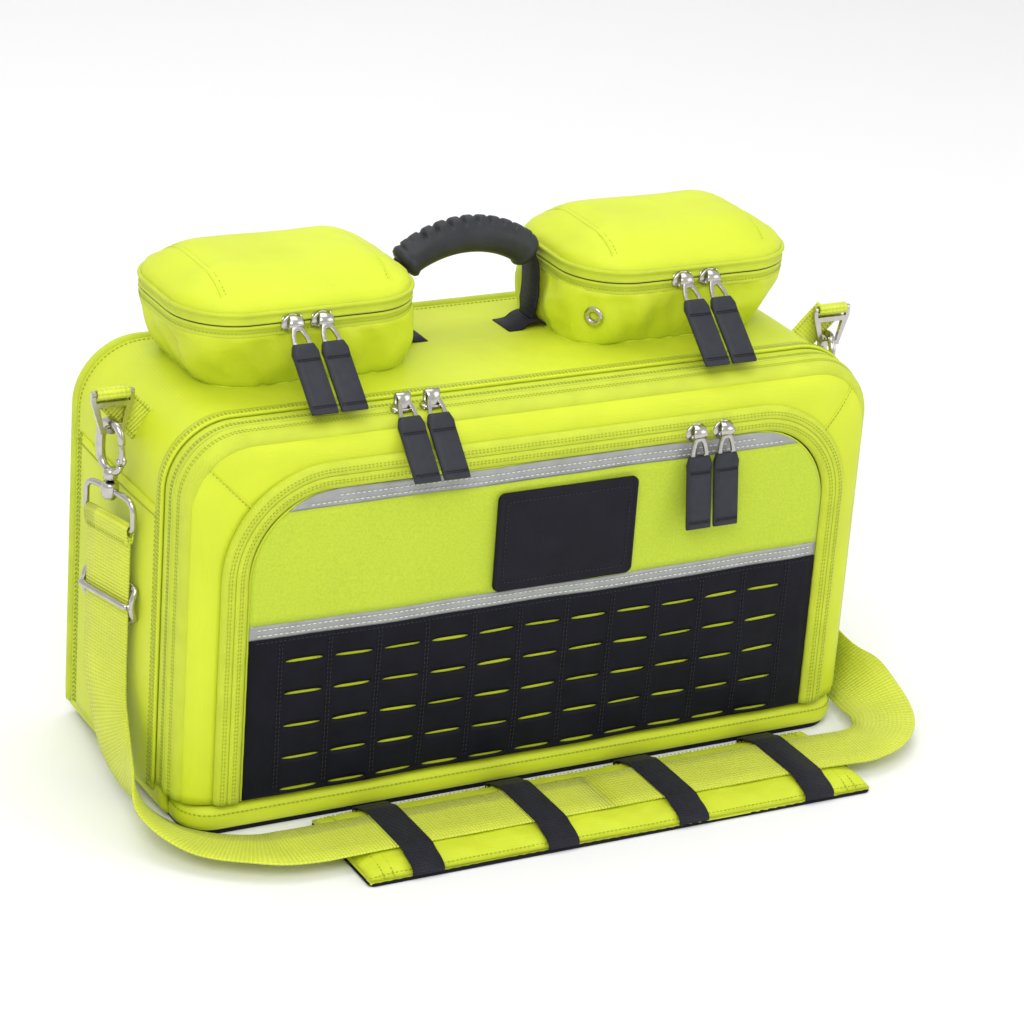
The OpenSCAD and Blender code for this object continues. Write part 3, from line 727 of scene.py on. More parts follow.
def build_pocket_zip():
    """A soft roll with the zip in it, framing the pocket's face on three sides."""
    flat, outs = arch(FLAP_HALF + 9, DOOR_LOW[2] + 1, FLAP_HIGH[2] + 7.5, FLAP_R + 5, 40, 22, 90)
    path, out = front_view(flat, FLAP_LOW[1]), front_view(outs, 0)
    roll = np.array([(10.5, -5.5), (11.2, -2.2), (10, 0.6), (7, 2.3), (4.4, 2.7), (2.7, 2.3), (2.2, 2.0),
                     (1.7, 2.5), (-0.5, 3.2), (-3.4, 3.0), (-6.4, 2.0), (-8.2, 0.2), (-8.6, -1.5),
                     (-4, -3.5), (3, -5.5)])
    Shape().sweep(path, out, -Y, roll).made("pocket_zip", TRIM, "door")
    Shape().sweep(path, out, -Y, [(2.45, 2.36), (2.2, 2.2), (1.95, 2.36), (2.2, 2.5)]).made(
        "pocket_zip_coil", THREAD, "door")
    thread = Shape()
    for across, height in ((5.4, 2.75), (7.4, 2.3), (-1.2, 3.3), (-3.2, 3.15)):
        thread.stitches(path + out * across + [0, -height, 0], -Y, 3.0, 1.8, 0.42)
    thread.made("pocket_zip_stitches", THREAD, "door")


# ---------- pocket flap ----------

def flap_half(z, inset=0.0):
    """Half the flap's width at a height."""
    r = FLAP_R - inset
    above = np.clip(z - (FLAP_HIGH[2] - FLAP_R), 0, r)
    return FLAP_HALF - inset - (r - np.sqrt(np.maximum(r * r - above * above, 0)))


def flap_y(x, z, lift=0.0):
    """Depth of the flap's face, which crowns forward and ripples a little."""
    crown = 3.2 * (1 - (x / FLAP_HALF) ** 4) * hump((z - FLAP_LOW[2]) / (FLAP_HIGH[2] - FLAP_LOW[2])) ** 0.6
    ripple = 0.7 * np.sin(x / 31 + z / 27) + 0.4 * np.sin(x / 13.7 - z / 19)
    edge = np.clip((FLAP_HALF - np.abs(x)) / 40, 0, 1)
    return FLAP_LOW[1] + 0.4 - crown - ripple * edge - lift


def band_rows(low, high, lift, inset=1.0, rows=8, cols=120):
    """Rows of points across the flap between two heights, a lift in front of its face."""
    grid = []
    for z in np.linspace(low, high, rows):
        half = flap_half(z, inset)
        x = np.linspace(-half, half, cols)
        grid.append(np.stack([x, flap_y(x, z, lift), np.full(cols, z)], 1))
    return np.array(grid)


def band_path(z, lift, inset=6.0):
    """A line across the flap at a height, for stitches."""
    x = np.linspace(-flap_half(z, inset), flap_half(z, inset), 160)
    return np.stack([x, flap_y(x, z, lift), np.full(len(x), z)], 1)


def build_flap():
    """The pocket's face: fabric, two reflective tapes, the loop panel and the slot panel."""
    Shape().grid(band_rows(FLAP_LOW[2], FLAP_HIGH[2] - 0.5, 0.0, 0.0, 60, 110)).made(
        "pocket_flap", SHELL, "flap", solid=3.0)
    front = -Y
    tapes, thread = Shape(), Shape()
    tape_low = LOOP_LOW[2] - SLOT_HIGH[2]
    for low, high in ((SLOT_HIGH[2], LOOP_LOW[2]), (LOOP_HIGH[2], TAPE_TOP)):
        tapes.grid(band_rows(low, high, 1.2, 1.0, 7))
        for z in (low + 3.2, low + tape_low * 0.72):
            thread.stitches(band_path(z, 1.9), front, 4.2, 3.0, 0.42)
    tapes.made("reflective_tapes", REFLECTIVE, "flap", solid=0.8)
    thread.made("tape_stitches", WHITE_THREAD, "flap")
    Shape().grid(band_rows(LOOP_LOW[2], LOOP_HIGH[2], 1.0, 1.0, 16)).made(
        "loop_panel", LOOP, "flap", solid=1.2)
    build_slot_panel(front)


SLOT_PITCH_X, SLOT_PITCH_Z, SLOT_LEN, SLOT_FIRST_Z = 38.1, 25.4, 30.0, 29.5
SLOT_COLUMNS, SLOT_ROWS = 11, 5


def slot_gape(x, row):
    """Half the opening of a row's slots at each x. Each slot is a lens with squarish ends."""
    column = np.round(x / SLOT_PITCH_X)
    inside = np.abs(x - column * SLOT_PITCH_X) / (SLOT_LEN / 2)
    gape = 1.3 + 0.12 * np.sin(column * 2.1 + row * 1.3)
    return np.where((inside < 1) & (np.abs(column) <= SLOT_COLUMNS // 2),
                    gape * np.sqrt(np.clip(1 - inside ** 4, 0, 1)), 0.0)


def build_slot_panel(front):
    """Dark fabric cut with rows of slots. Each strip between two rows bows a little, so the slots gape."""
    columns = []
    for c in range(-(SLOT_COLUMNS // 2), SLOT_COLUMNS // 2 + 1):
        columns += list(c * SLOT_PITCH_X + np.array([-19.05, -17, -15.05, -15, -14.3, -13, -11, -8, -4, 0,
                                                     4, 8, 11, 13, 14.3, 15, 15.05, 17]))
    edge = flap_half(100.0, 1.0)
    columns = np.array([-edge, -edge + 8] + columns + [209.5, edge - 8, edge])
    rows_z = [SLOT_FIRST_Z + i * SLOT_PITCH_Z for i in range(SLOT_ROWS)]
    cuts = [SLOT_LOW[2]] + rows_z + [SLOT_HIGH[2]]
    panel = Shape()
    for k in range(len(cuts) - 1):
        low = cuts[k] + (slot_gape(columns, k - 1) if k > 0 else 0 * columns)
        high = cuts[k + 1] - (slot_gape(columns, k) if k < SLOT_ROWS else 0 * columns)
        grid = []
        for t in np.linspace(0, 1, 8 if k else 3):
            z = low + (high - low) * t
            bow = 0.4 * math.sin(math.pi * t) * (0.5 + 0.5 * np.cos(2 * math.pi * columns / SLOT_PITCH_X))
            grid.append(np.stack([columns, flap_y(columns, z, 1.6 + bow), z], 1))
        panel.grid(grid)
    panel.made("slot_panel", DARK, "flap", solid=1.3, weld=0.05)
    thread = Shape()
    for c in range(SLOT_COLUMNS + 1):
        x = (c - SLOT_COLUMNS / 2) * SLOT_PITCH_X
        for shift in (-1.2, 1.2):
            z = np.linspace(SLOT_LOW[2] + 6, SLOT_HIGH[2] - 5, 60)
            line = np.stack([np.full(60, x + shift), flap_y(x, z, 1.75), z], 1)
            thread.stitches(line, front, 3.4, 2.4, 0.4)
    thread.stitches(band_path(SLOT_HIGH[2] - 2.5, 1.8), front, 3.4, 2.4, 0.4)
    thread.made("slot_panel_stitches", BLACK_THREAD, "flap")


def build_patch():
    """The removable patch with a raised rim, its stitches and its hook backing."""
    low, high = span("patch_face")
    centre = (low + high) / 2
    face_y = flap_y(centre[0], centre[2], 1.2)
    half, tall = (high[0] - low[0]) / 2, high[2] - low[2]
    face = Shape()
    rows = []
    for inset, depth in ((0, 2.6), (0.1, 1.0), (0.9, 0.1), (2.6, -0.2), (3.4, 0.35), (5, 0.4)):
        loop, _ = plan_loop(half - inset, tall / 2 - inset, 5.5 - min(inset, 4), 20, 8)
        rows.append(front_view(loop + centre[[0, 2]], face_y - 3.4 + depth))
    face.grid(rows, False, True).cap(len(rows[0]))
    face.made("patch_face", PATCH, "patch", solid=0.6)
    thread = Shape()
    loop, _ = plan_loop(half - 7, tall / 2 - 7, 3, 20, 6)
    path = front_view(loop + centre[[0, 2]], face_y - 3.1)
    thread.stitches(np.concatenate([path, path[:1]]), -Y, 3.2, 2.2, 0.4)
    thread.made("patch_stitches", BLACK_THREAD, "patch", slot="patch_rubber")
    Shape().slab(rounded(half - 0.8, -tall / 2 + 0.8, tall / 2 - 0.8, 4.5),
                 [centre[0], face_y - 0.4, centre[2]], X, Z, 1.2).made("patch_backing", HOOK_PILE, "patch")


# ---------- pods ----------

def plan_inset(x, y, half, r):
    """How far a point is inside a rounded rectangle."""
    qx, qy = np.abs(x) - (half[0] - r), np.abs(y) - (half[1] - r)
    outside = np.sqrt(np.maximum(qx, 0) ** 2 + np.maximum(qy, 0) ** 2)
    return r - outside - np.minimum(np.maximum(qx, qy), 0)


LID_RISE = LID_HIGH[2] - LID_LOW[2]
LID_SEAM_X = 66.0


def lid_z(x, y):
    """Height of a lid over its zip: steep at the rim, nearly flat on top, pinched along two seams."""
    d = np.clip(plan_inset(x, y, POD_HALF, POD_R), 0, None)
    rise = LID_RISE * (0.28 * (1 - np.exp(-d / 2.5)) + 0.72 * (1 - (1 - np.minimum(d / 44, 1)) ** 1.9))
    seam = 1.3 * np.exp(-((np.abs(x) - LID_SEAM_X) / 3.0) ** 2) * np.clip(d / 6, 0, 1)
    pucker = 0.8 * np.sin(x / 4.1 + y / 3.3) * np.exp(-d / 9) * np.clip(d / 3, 0, 1)
    fold = 0.7 * np.sin(x / 23 + y / 37) * np.sin(x / 41 - y / 17) * np.clip(d / 20, 0, 1)
    return rise - seam + pucker + fold


def build_pod(name, side):
    """A pod's domed lid with its seams, and the zip round its rim."""
    centre = np.array([side * abs(POD_CENTRE[0]), POD_CENTRE[1], 0])
    lid_body, low = f"{name}_lid", LID_LOW[2]
    loops = []
    for inset in (0, 0.6, 1.5, 2.8, 4.5, 7, 10, 14, 18, 23, 29, 35, 41, 47, 53, 58, 62):
        loop, out = plan_loop(POD_HALF[0] - inset, POD_HALF[1] - inset, max(POD_R - inset, 6), 22, 12)
        swell = 2.4 * hump(min(inset / 9, 1)) if inset < 9 else 0
        z = low + lid_z(loop[:, 0], loop[:, 1])
        loops.append(np.c_[loop + out * swell, z] + centre)
    Shape().grid(loops, False, True).cap(len(loops[0])).made(
        f"{name}_pod_lid", SHELL, lid_body, solid=3, puff=2.2)
    seam, thread = Shape(), Shape()
    for s in (-1, 1):
        x = s * LID_SEAM_X
        y = np.linspace(-POD_HALF[1] + 1.5, POD_HALF[1] - 1.5, 90)
        y = y[plan_inset(x, y, POD_HALF, POD_R) > 0.4]
        path = np.stack([np.full(len(y), x), y, low + lid_z(x, y)], 1) + centre
        slope = np.gradient(path[:, 2], y)
        up = np.stack([0 * y, -slope, 1 + 0 * y], 1)
        up /= np.linalg.norm(up, axis=1)[:, None]
        seam.tube(path + up * 0.2, 1.0, 6)
        thread.stitches(path + up * 1.3 - [s * 3.0, 0, 0], up, 3.2, 2.1, 0.42)
    seam.made(f"{name}_lid_seams", SHELL, lid_body)
    thread.made(f"{name}_lid_stitches", THREAD, lid_body)

    loop, out = plan_loop(POD_HALF[0], POD_HALF[1], POD_R, 22, 12)
    path, out3 = plan_view(loop, POD_CENTRE[2]) + centre, plan_view(out, 0)
    up = Z
    lower = [(0.2, -9), (0.9, -8.4), (0.5, -7.5), (0.4, -3.4), (1.1, -2.9), (1.5, -1.8), (1.2, -0.7),
             (0, -0.2), (-2, -0.6), (-2, -9)]
    upper = [(0, 0.2), (1.2, 0.7), (1.5, 1.8), (1.1, 2.9), (0.4, 3.4), (0.8, 6), (2.4, 7.6), (2.2, 9.2),
             (0, 9.6), (-2, 7), (-2, 0.6)]
    Shape().sweep(path, out3, up, lower, True).made(f"{name}_pod_zip", TRIM, "bag")
    Shape().sweep(path, out3, up, upper, True).made(f"{name}_lid_zip", TRIM, lid_body)
    Shape().sweep(path, out3, up, [(0.7, -0.3), (0.7, 0.3), (-1, 0.3), (-1, -0.3)], True).made(
        f"{name}_pod_coil", BLACK_THREAD, "bag")
    closed, closed_out = (np.concatenate([a, a[:1]]) for a in (path, out3))
    Shape().stitches(closed + closed_out * 0.75 - up * 5.6, closed_out, *FINE).made(
        f"{name}_pod_zip_stitches", THREAD, "bag")
    return build_pod_base(name, side, centre)


def build_pod_base(name, side, centre):
    """The walls under a pod's zip, wider at the top, sagging into soft folds above the seam to the bag."""
    foot_centre = np.array([side * (abs(POD_CENTRE[0]) - 10), 41.5, 0])
    rows = []
    top_z, foot_z = POD_CENTRE[2] - 6.5, TOP + 1
    for t in np.linspace(0, 1, 14):
        half = POD_HALF * (1 - t) + np.array([80, 56]) * t
        loop, out = plan_loop(half[0], half[1], POD_R * (1 - t) + 30 * t, 22, 12)
        turn = np.arctan2(loop[:, 1], loop[:, 0])
        fold = 1.8 * np.sin(turn * 9 + side + 3 * t) * hump(t)
        fold += 1.1 * np.sin(turn * 23 + 2 * side - 4 * t) * hump(t)
        loop = loop + out * (3.4 * hump(t) ** 0.8 + fold)[:, None]
        shift = centre[:2] * (1 - t) + foot_centre[:2] * t
        rows.append(plan_view(loop + shift, top_z + (foot_z - top_z) * t))
    base = Shape().grid(rows, False, True).made(f"{name}_pod_base", SHELL, "bag", solid=-2, puff=1.5)
    foot = rows[-1]
    Shape().tube(foot + Z, 1.6, 8, True).made(f"{name}_pod_foot_seam", SHELL, "bag")
    return base


def build_eyelet(wall):
    """A flanged eyelet in the right pod's inner front corner."""
    mount = next(m for m in frame["record"]["mounts"] if m["name"] == "pod_port")
    at, axis = np.array(mount["pos_m"]) / MM, np.array(mount["axis"])
    points = np.array([v.co for v in wall.data.vertices]) / MM - at
    along = points @ axis
    off = np.linalg.norm(points - along[:, None] * axis, axis=1) + np.where(along < -5, 1e3, 0)
    at = at + axis * (along[np.argsort(off)[:4]].mean() + 1.6)
    outline = [(-9, 3.1), (-9, 4.4), (-0.6, 4.6), (-0.4, 7.4), (0.6, 7.9), (1.5, 7.4), (1.9, 5.6),
               (1.5, 3.6), (0, 3.1), (-9, 3.1)]
    Shape().lathe(at, axis, outline, 36).made("pod_eyelet", METAL, "bag")


# ---------- handle ----------

def build_handle():
    """A moulded grip with finger notches, webbing legs and the anchors they go through."""
    arch_r, steps, sides, pivot_r = 84.0, 241, 48, 10.2
    arch_z = span("handle_grip")[1][2] - 13 - arch_r
    half_angle = math.radians(38.2)
    turn = np.linspace(-half_angle, half_angle, steps)
    path = np.stack([arch_r * np.sin(turn), np.full(steps, HANDLE_Y), arch_z + arch_r * np.cos(turn)], 1)
    out = np.stack([np.sin(turn), 0 * turn, np.cos(turn)], 1)
    around = np.linspace(0, 2 * math.pi, sides, endpoint=False)
    share = np.abs(turn) / half_angle
    radius = 11.6 + 1.2 * hump(0.5 + share * 0.5) + 1.7 * np.exp(-((share - 0.93) / 0.05) ** 2)
    radius *= np.where(share > 0.985, 0.86, 1.0)
    profile = np.zeros((steps, sides, 2))
    place = turn / math.radians(6.6)
    in_notches = np.clip(4.6 - np.abs(place), 0, 1)
    scallop = (0.5 + 0.5 * np.cos(2 * math.pi * (place - 0.5))) ** 5 * in_notches
    for j, a in enumerate(around):
        top = math.exp(-((a if a < math.pi else a - 2 * math.pi) / 0.50) ** 4)
        r = radius + top * np.where(share < 0.86, 2.4 - 3.6 * scallop, 0.0)
        profile[:, j, 0], profile[:, j, 1] = r * math.cos(a), r * math.sin(a) * 1.04
    Shape().sweep(path, out, Y, profile).made("handle_grip", GRIP, "handle")
    # Black webbing legs come out of the grip's ends and go round the anchor loops
    legs, thread = Shape(), Shape()
    for side in (-1, 1):
        end = path[0] if side < 0 else path[-1]
        stations = [(end[0] - side * 3, end[2] + 5), (end[0] + side * 3.0, end[2] - 6),
                    (end[0] + side * 5.0, 333), (side * 56, 318), (side * 55, HANDLE_Z - 7)]
        points = front_view(smooth_path(stations, 8), HANDLE_Y)
        normal = np.cross(tangents(points, False), Y)
        # Rounded below the pivot, so that it clears the body when the handle folds
        above = points[:, 2] - HANDLE_Z
        reach = np.where(above < 0, np.sqrt(np.maximum(pivot_r ** 2 - above ** 2, 36)),
                         np.minimum(pivot_r + above * 0.4, 12.7))
        section = np.array(ribbon(1.3, 0.95, 1))[None] * np.stack([np.ones(len(points)), reach], 1)[:, None]
        legs.sweep(points, normal, Y, section)
        sewn = above > 7
        for y in (-10, 10):
            line = points[sewn] + [0, y, 0] + normal[sewn] * 1.4 * side
            thread.stitches(line, normal[sewn] * side, 3.0, 2.0, 0.4)
    legs.made("handle_webbing", DARK_WEB, "handle")
    thread.made("handle_stitches", BLACK_THREAD, "handle", slot="dark_webbing")
    anchors = Shape()
    for side in (-1, 1):
        stations = [(side * 34, TOP + 2.2), (side * 44, TOP + 3.2), (side * 50, TOP + 7),
                    (side * 57, HANDLE_Z - 5), (side * 64, TOP + 6), (side * 70, TOP + 3.2),
                    (side * 82, TOP + 2.2)]
        points = front_view(smooth_path(stations, 6), HANDLE_Y)
        normal = np.cross(tangents(points, False), Y)
        anchors.sweep(points, normal, Y, ribbon(1, 13.5, 14))
    anchors.made("handle_anchors", DARK_WEB, "bag")


# ---------- sliders and pulls ----------

def moved(shape, at, lean):
    """Turns a shape about X by the lean in degrees, then moves it to a bridge bar."""
    return shape.change(lambda p: turned(p, lean, 0) + at)


def slider_shape(rise):
    """A zip slider facing -Y: a tapered body, side lips and a domed bridge over the bar."""
    shape = Shape()
    outline = [(9.0 * math.cos(a) * (1 - 0.22 * math.sin(a)), 7.0 * math.sin(a)) for a in
               np.linspace(0, 2 * math.pi, 28, endpoint=False)]
    shape.slab(outline, [0, rise + 1.2, 0], X, Z, 2.4, 0.7)
    turn = np.linspace(-0.15, math.pi + 0.15, 17)
    bridge = np.stack([0 * turn, rise - (rise + 2.0) * np.sin(turn), 5.2 * np.cos(turn)], 1)
    width = 4.4 - 0.9 * np.cos(2 * turn)
    tangent = tangents(bridge, False)
    normal = np.cross(tangent, X)
    profile = np.array(ribbon(0.8, 1, 1.15))[None] * np.stack([np.ones(17), width], 1)[:, None]
    shape.sweep(bridge, normal, X, profile)
    for side in (-1, 1):
        shape.tube([(side * 7.0, rise + 2.4, -5), (side * 7.6, rise + 3.0, 0), (side * 6.6, rise + 2.6, 5)],
                   0.9, 8)
    return shape


def puller_shape():
    """A cast trapezoid with an oval opening, hanging from a knuckle on the bar."""
    shape = Shape()
    shape.tube([(-2.7, 0, 0), (-2.4, 0, 0), (2.4, 0, 0), (2.7, 0, 0)], [1.7, 2.2, 2.2, 1.7], 16)
    out = [(-2.8, 0), (-4.4, -4), (-6.2, -9), (-7.2, -15), (-7.2, -23.2), (-6.6, -24), (6.6, -24),
           (7.2, -23.2), (7.2, -15), (6.2, -9), (4.4, -4), (2.8, 0)]
    hole = [(-1.2, -5.5), (-2.4, -7.0), (-3.5, -10.5), (-4.2, -14), (-4.0, -16.2), (-3.0, -17.2),
            (3.0, -17.2), (4.0, -16.2), (4.2, -14), (3.5, -10.5), (2.4, -7.0), (1.2, -5.5)]
    half = 1.2
    rings = [(hole, -half), (hole, half), (out, half), (out, -half)]
    rows = [np.array([(x, y, z) for x, z in pts]) for pts, y in rings]
    shape.grid(rows, True, True)
    return shape


def tag_shape(length):
    """A folded fabric tag round the puller's lower end, with tapered shoulders."""
    half, thick = 10.2, 1.5
    levels = [(-16.6, 7.8, 1.8), (-17.4, 8.2, 2.3), (-20, 9.0, 2.5), (-23, half, 2.2), (-26, half, 1.8),
              (-29, half, 1.4), (-32, half, thick), (-length * 0.72, half, thick),
              (-length + 5, half, thick), (-length + 1.2, half, 1.35), (-length, half - 0.1, 0.9)]
    rows = []
    for z, w, t in levels:
        rows.append([(-w, 0, z), (-w + 0.3, -t, z), (-w * 0.5, -t * 1.05, z), (0, -t * 1.08, z),
                     (w * 0.5, -t * 1.05, z), (w - 0.3, -t, z), (w, 0, z), (w - 0.3, t, z),
                     (0, t * 1.05, z), (-w + 0.3, t, z)])
    rows = np.array(rows, float)
    run = np.stack([rows[..., 2], rows[..., 0], 0 * rows[..., 0]], -1)
    shape = Shape()
    shape.grid(rows, False, True, run)
    m = rows.shape[1]
    shape.faces.append(tuple(range(m)))
    shape.faces.append(tuple(reversed(range((len(rows) - 1) * m, len(rows) * m))))
    return shape


def tag_stitches(length):
    """Two short rows near each end of a tag, on both faces."""
    shape = Shape()
    for z, half in ((-28.6, 9), (-30.0, 9), (-length + 4.4, 9), (-length + 5.8, 9)):
        for face in (-1, 1):
            path = [(-half, face * 1.75, z), (half, face * 1.75, z)]
            shape.stitches(path, [0, face, 0], 1.7, 1.5, 0.5)
    return shape


# How far each pair of pulls leans out from hanging straight down, in degrees, and how long its tags are
PULLS = {"left_pod": (-50.0, 72.0), "right_pod": (-50.0, 72.0), "main": (-45.5, 67.0),
         "pocket": (-8.0, 72.0)}


def build_pulls():
    for zip_name, (lean, length) in PULLS.items():
        for k in "ab":
            joint = next(j for j in frame["joints"] if j["name"] == f"{zip_name}_pull_{k}_swing")
            at = np.array(joint["pos_m"]) / MM
            slider = f"{zip_name}_slider_{k}"
            low, high = span(slider)
            face_up = zip_name == "main"
            rise = (at[2] - low[2] - 3) if face_up else (high[1] - at[1] - 3)
            moved(slider_shape(rise), at, -90 if face_up else 0).made(slider, METAL, slider)
            pull = f"{zip_name}_pull_{k}"
            moved(puller_shape(), at, lean).made(f"{pull}er", METAL, pull, bevel=0.45)
            moved(tag_shape(length), at, lean).made(pull, TAG, pull)
            moved(tag_stitches(length), at, lean).made(
                f"{pull}_stitches", BLACK_THREAD, pull, slot="pull_tag")


# ---------- strap hardware ----------

def hooked(shape, side):
    """Moves a shape from the left hook's frame into place, mirrored for the right one."""
    return shape.change(lambda p: turned(p, HOOK_TURN, 2) + HOOK_AT, side > 0)


def build_hook(name, side):
    """A swivel trigger hook: a cast loop, thicker at its back, a sprung gate and a collar on the stem."""
    body, low, high, half = Shape(), -19.2, -6.2, 12.0
    path = [(0, -half, high - 1.0)]
    path += [(0, -half * math.cos(a), high + half * math.sin(a)) for a in np.linspace(0, math.pi, 15)[1:]]
    path += [(0, half + 0.6, z) for z in (-9, -13, -17)]
    path += [(0, half * math.cos(a) + 0.2, low - half * math.sin(a)) for a in np.linspace(0.15, math.pi / 2,
                                                                                          7)]
    path += [(0, -5, low - half * 0.93), (0, -9, low - half * 0.72), (0, -11.4, low - 4.5)]
    curve = smooth_path(path, 3)
    share = np.linspace(0, 1, len(curve))
    body.tube(curve, 2.5 + 1.3 * hump(share * 0.9 + 0.08) ** 2, 16)
    body.lathe([0, 0, low - half + 2.5], [0, 0, -1],
               [(0, 0.1), (0, 3.6), (1.5, 5.0), (4.5, 5.4), (7.5, 5.2), (8.6, 3.4), (8.6, 2.9), (20.6, 2.9),
                (20.6, 4.6), (22.0, 4.8), (23.4, 4.0), (24.2, 2.2), (24.5, 0.1)], 28)
    hooked(body, side).made(f"{name}_hook", METAL, f"{name}_hook")
    gate = Shape()
    curve = smooth_path([(0, -half + 0.2, high - 1.5), (0, -half - 0.5, -11), (0, -half - 0.6, -15),
                         (0, -half - 0.4, low - 1.5)], 5)
    gate.tube(curve, 2.1 + 0.8 * np.linspace(0, 1, len(curve)) ** 2, 14)
    gate.tube(smooth_path([(0, -half - 2.0, -15.5), (0, -half - 3.6, -18.5), (0, -half - 2.6, -22)], 4),
              [1.0, 1.3, 1.5, 1.7, 1.8, 1.8, 1.6, 1.3, 0.9], 10)
    for face in (-1, 1):
        gate.lathe([face * 2.2, -half + 0.6, low - 0.8], [face, 0, 0],
                   [(0, 2.3), (1.0, 2.2), (1.5, 1.4), (1.7, 0.1)], 16)
    hooked(gate, side).made(f"{name}_gate", METAL, f"{name}_gate")


def build_eye(side):
    """The swivel's eye: a barrel for the stem and a wide D that the webbing goes round."""
    shape = Shape()
    shape.lathe([0, 0, -39.6], [0, 0, -1], [(0, 3.2), (0, 5.6), (1, 6.3), (4, 6.5), (9.6, 6.3), (10.8, 5.6),
                                            (10.8, 3.2), (0, 3.2)], 28)
    half = 27.6
    path = [(0, -5, -45.2), (0, -14, -45.2), (0, -half + 9, -45.8)]
    path += [(0, -half + 9 - 9 * math.sin(a), -54.8 + 9 * math.cos(a)) for a in np.linspace(0.2,
                                                                                            math.pi / 2, 6)]
    path += [(0, -half, -62), (0, -half + 0.3, -66), (0, -half + 2.4, -68), (0, -20, -68), (0, 0, -68)]
    curve = smooth_path(path, 4)
    for mirror in (-1, 1):
        shape.tube(curve * [1, mirror, 1], 2.35, 14)
    return hooked(shape, side)


def build_ring_tab(side, webbing, thread):
    """Webbing sewn down the body's shoulder, rolled over the ring's bar and sewn again underneath."""
    x0, y = RING[0], RING[1]
    # The bar lies along X. The webbing goes over it from behind, and back under it through the ring's slot
    turn = np.linspace(0, 1.5 * math.pi, 13)
    over = [(y + 6.4, RING[2] - 13), (y + 4.6, RING[2] - 5)]
    over += [(y + 3.4 * math.cos(a), RING[2] + 3.4 * math.sin(a)) for a in turn]
    over += [(y + 4.0, RING[2] - 4.2), (y + 7.6, RING[2] - 11)]
    points = np.array([(0, a, b) for a, b in smooth_path(over, 4)])
    points[:, 0] = x0
    normal = np.cross(tangents(points, False), X)
    part = Shape().sweep(points, normal, X, ribbon(0.9, 12, 12.5))
    # Its tail runs down to the shoulder of the body behind the ring
    tail = [(x0 + 1, RING[2] - 4), (x0 + 10, RING[2] - 13), (x0 + 19, RING[2] - 22),
            (x0 + 27, RING[2] - 31)]
    line = np.array([(a, y + 5.4, b) for a, b in smooth_path(tail, 6)])
    direction = tangents(line, False)
    across = np.cross(direction, Y)
    part.sweep(line, across, Y, [(-12, -0.9), (12, -0.9), (12.4, 0), (12, 0.9), (-12, 0.9), (-12.4, 0)])
    stitch = Shape()
    for offset in (-10, 10):
        stitch.stitches(line + across * offset - Y, -Y, 2.8, 1.9, 0.42)
    for new, target in ((part, webbing), (stitch, thread)):
        target.join(new.change(lambda p: p, side > 0))


def build_strap_ends():
    """Ring tabs, rings, hooks and swivel eyes at both ends, and the adjuster."""
    webbing, thread, eyes = Shape(), Shape(), Shape()
    for side, name in ((-1, "left"), (1, "right")):
        build_ring_tab(side, webbing, thread)
        keep(f"{name}_ring", METAL, 0.9)
        build_hook(name, side)
        eyes.join(build_eye(side))
    webbing.made("ring_tabs", WEBBING, "bag")
    thread.made("ring_tab_stitches", THREAD, "bag")
    eyes.made("swivel_eyes", METAL, "strap")
    build_triglide()


def build_triglide():
    """A wire frame with rounded corners and a middle bar. The webbing goes behind the middle bar."""
    low, high = span("triglide")
    centre = np.array([RING[0], RING[1], (low[2] + high[2]) / 2])
    loop, _ = plan_loop(28.5, 13, 5, 8, 6)
    frame_wire = [(3.9 * min(abs(z) / 11.0, 1) ** 2, y, z) for y, z in loop]
    middle = [(0.6, -28.5, 0), (-2.6, -26.6, 0), (-3.9, -23.5, 0), (-3.9, 0, 0), (-3.9, 23.5, 0),
              (-2.6, 26.6, 0), (0.6, 28.5, 0)]
    shape = Shape().tube(frame_wire, 2.4, 14, True).tube(smooth_path(middle, 4), 2.4, 14)
    shape.change(lambda p: turned(p, HOOK_TURN, 2) + centre).made("triglide", METAL, "triglide")


def strap_run(stations):
    """Position and width direction along one side of the strap, from its stations."""
    data = smooth_path([list(p) + list(w) for p, w in stations], 9)
    width = data[:, 3:] / np.linalg.norm(data[:, 3:], axis=1)[:, None]
    return data[:, :3], width


